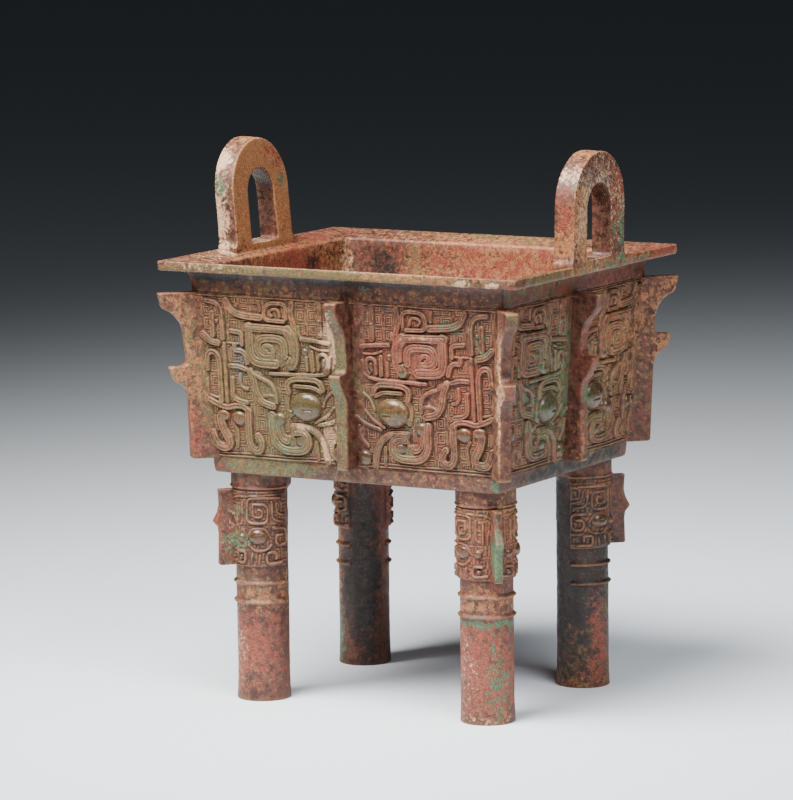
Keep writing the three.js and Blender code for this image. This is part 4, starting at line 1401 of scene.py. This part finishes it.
def arithmetic(operation, first, second):
    node = nodes.new("ShaderNodeMath")
    node.operation = operation
    feed(node.inputs[0], first)
    feed(node.inputs[1], second)
    return node.outputs[0]


def noise(size, detail=3.0, roughness=0.6, shift=0.0):
    """Noise in blotches of about this size in millimetres."""
    node = nodes.new("ShaderNodeTexNoise")
    moved = nodes.new("ShaderNodeVectorMath")
    moved.operation = "ADD"
    feed(moved.inputs[0], place_on_piece)
    moved.inputs[1].default_value = (shift, 0.7 * shift, -0.4 * shift)
    feed(node.inputs["Vector"], moved.outputs[0])
    node.inputs["Scale"].default_value = 1 / (size * MM)
    node.inputs["Detail"].default_value = detail
    node.inputs["Roughness"].default_value = roughness
    return node.outputs["Fac"]


def ramp(value, low, high, bottom=0.0, top=1.0):
    node = nodes.new("ShaderNodeMapRange")
    node.interpolation_type = "SMOOTHSTEP"
    settings = {"Value": value, "From Min": low, "From Max": high, "To Min": bottom, "To Max": top}
    for socket, setting in settings.items():
        feed(node.inputs[socket], setting)
    return node.outputs["Result"]


def attribute(name):
    node = nodes.new("ShaderNodeAttribute")
    node.attribute_name = name
    return node.outputs["Fac"]


def tint(red, green, blue):
    """A colour from its everyday values of 0 to 255."""
    return tuple(((v / 255 + 0.055) / 1.055) ** 2.4 for v in (red, green, blue)) + (1.0,)


def mixed(share, below, above):
    node = nodes.new("ShaderNodeMix")
    node.data_type = "RGBA"
    feed(node.inputs[0], share)
    feed(node.inputs[6], below)
    feed(node.inputs[7], above)
    return node.outputs[2]


print("helpers for nodes are ready")

# %% Skins of the patina
fine_grain = noise(1.1, 4.0, 0.65)
middle_grain = noise(4.5, 4.0, 0.6, 0.31)
BRONZE = (tint(58, 30, 24), tint(98, 56, 42))
# dark and light colour, size of its noise, how much the noise counts, and how soft its edge is
SKINS = {
    "olive": (tint(66, 57, 32), tint(114, 99, 61), 7.0, 1.6, 0.34),
    "grey": (tint(70, 74, 70), tint(106, 112, 108), 6.0, 1.4, 0.34),
    "tan": (tint(124, 74, 44), tint(168, 117, 76), 3.4, 1.9, 0.34),
    "red": (tint(98, 37, 28), tint(150, 76, 57), 5.0, 1.7, 0.36),
    "green": (tint(46, 76, 56), tint(92, 114, 80), 4.0, 1.9, 0.3),
    "pale": (tint(160, 121, 92), tint(202, 172, 137), 2.6, 1.8, 0.3),
    # the near-black skin below is real soot in places, and painted shade under the rim, the body and the
    # flange hooks and on the shaded sides of legs and flanges
    "soot_and_shade": (tint(18, 12, 12), tint(38, 28, 24), 4.2, 1.2, 0.38),
}
colour = mixed(ramp(middle_grain, 0.36, 0.64), BRONZE[0], BRONZE[1])
for order, (skin_name, (dark, light, size, share, softness)) in enumerate(SKINS.items()):
    own_noise = noise(size, 5.0, 0.68, 1.3 + 0.9 * order)
    lifted = arithmetic("MULTIPLY_ADD", own_noise, share)
    lifted.node.inputs[2].default_value = -0.5 * share
    weight = arithmetic("ADD", attribute(skin_name), lifted)
    shown = ramp(weight, 0.5 - softness / 2, 0.5 + softness / 2)
    colour = mixed(shown, colour, mixed(ramp(fine_grain, 0.34, 0.66), dark, light))
print(len(SKINS), "skins over the bronze")

# %% Hollows, ridges and pits
hollow, proud, polish = attribute("hollow"), attribute("proud"), attribute("polish")
# ridges and sharp edges lightened: wear, and a painted highlight on what stands proud
worn_and_highlit = arithmetic("MULTIPLY", proud, ramp(middle_grain, 0.3, 0.62, 0.25, 1.0))
colour = mixed(arithmetic("MULTIPLY", worn_and_highlit, 0.42), colour, tint(174, 122, 82))
# hollows darkened: dirt, and painted shade in the grooves and at the feet of tall forms
colour = mixed(arithmetic("MULTIPLY", hollow, 0.7), colour, tint(32, 21, 16))
colour = mixed(arithmetic("MULTIPLY", polish, 0.5), colour, tint(66, 57, 42))
specks = noise(0.9, 2.0, 0.5, 9.1)
colour = mixed(ramp(specks, 0.66, 0.74, 0.0, 0.45), colour, tint(178, 144, 108))
pits = noise(2.2, 3.0, 0.6, 11.7)
pitted = ramp(pits, 0.34, 0.27)
colour = mixed(arithmetic("MULTIPLY", pitted, 0.7), colour, tint(24, 15, 14))
feed(shader.inputs["Base Color"], colour)
dullness = arithmetic("ADD", middle_grain, arithmetic("MULTIPLY", hollow, 0.3))
dullness = arithmetic("SUBTRACT", dullness, arithmetic("MULTIPLY", polish, 0.5))
feed(shader.inputs["Roughness"], ramp(dullness, 0.0, 0.8, 0.2, 0.72))
shader.inputs["Metallic"].default_value = 0.08
surface = arithmetic("ADD", arithmetic("MULTIPLY", fine_grain, 0.5), arithmetic("MULTIPLY", pitted, -0.6))
surface = arithmetic("ADD", surface, arithmetic("MULTIPLY", middle_grain, 0.7))
bump = nodes.new("ShaderNodeBump")
bump.inputs["Strength"].default_value = 0.55
bump.inputs["Distance"].default_value = 0.35 * MM
feed(bump.inputs["Height"], surface)
feed(shader.inputs["Normal"], bump.outputs["Normal"])
for made in pieces:
    made.data.materials.append(patina)
print("the patina has", len(nodes), "nodes")

# %% [markdown]
# ## Floor and light
# A plain pale floor, and two soft lights: a strong one above the front and a weak one from the right.

# %% Floor and lights
floor_mesh = bpy.data.meshes.new("floor")
FLOOR_REACH = 30.0
signs = ((-1, -1), (1, -1), (1, 1), (-1, 1))
floor_mesh.from_pydata([(x * FLOOR_REACH, y * FLOOR_REACH, 0) for x, y in signs], [], [(0, 1, 2, 3)])
floor = bpy.data.objects.new("floor", floor_mesh)
bpy.context.scene.collection.objects.link(floor)
paint = bpy.data.materials.new("pale_floor")
paint.use_nodes = True
paint.node_tree.nodes["Principled BSDF"].inputs["Base Color"].default_value = (0.86, 0.91, 0.96, 1)
paint.node_tree.nodes["Principled BSDF"].inputs["Roughness"].default_value = 0.8
floor_mesh.materials.append(paint)

world = bpy.data.worlds.new("studio")
bpy.context.scene.world = world
world.use_nodes = True
world.node_tree.nodes["Background"].inputs["Color"].default_value = (0.75, 0.82, 0.9, 1)
world.node_tree.nodes["Background"].inputs["Strength"].default_value = 0.02


def soft_light(name, size, power, azimuth, elevation, distance, colour, spread):
    data = bpy.data.lights.new(name, "AREA")
    data.shape = "SQUARE"
    data.size = size
    data.energy = power
    data.color = colour
    data.spread = math.radians(spread)
    made = bpy.data.objects.new(name, data)
    bpy.context.scene.collection.objects.link(made)
    aim = Vector((0, 0, 0.2))
    a, e = math.radians(azimuth), math.radians(elevation)
    place = aim + distance * Vector((math.cos(e) * math.cos(a), math.cos(e) * math.sin(a), math.sin(e)))
    turned = (aim - place).to_track_quat("-Z", "Y").to_matrix().to_4x4()
    made.matrix_world = Matrix.Translation(place) @ turned


soft_light("key", 0.9, 20, -106, 60, 1.38, (1, 0.98, 0.96), 84)
soft_light("fill", 0.9, 8.5, -30, 44, 1.5, (0.94, 0.97, 1), 110)
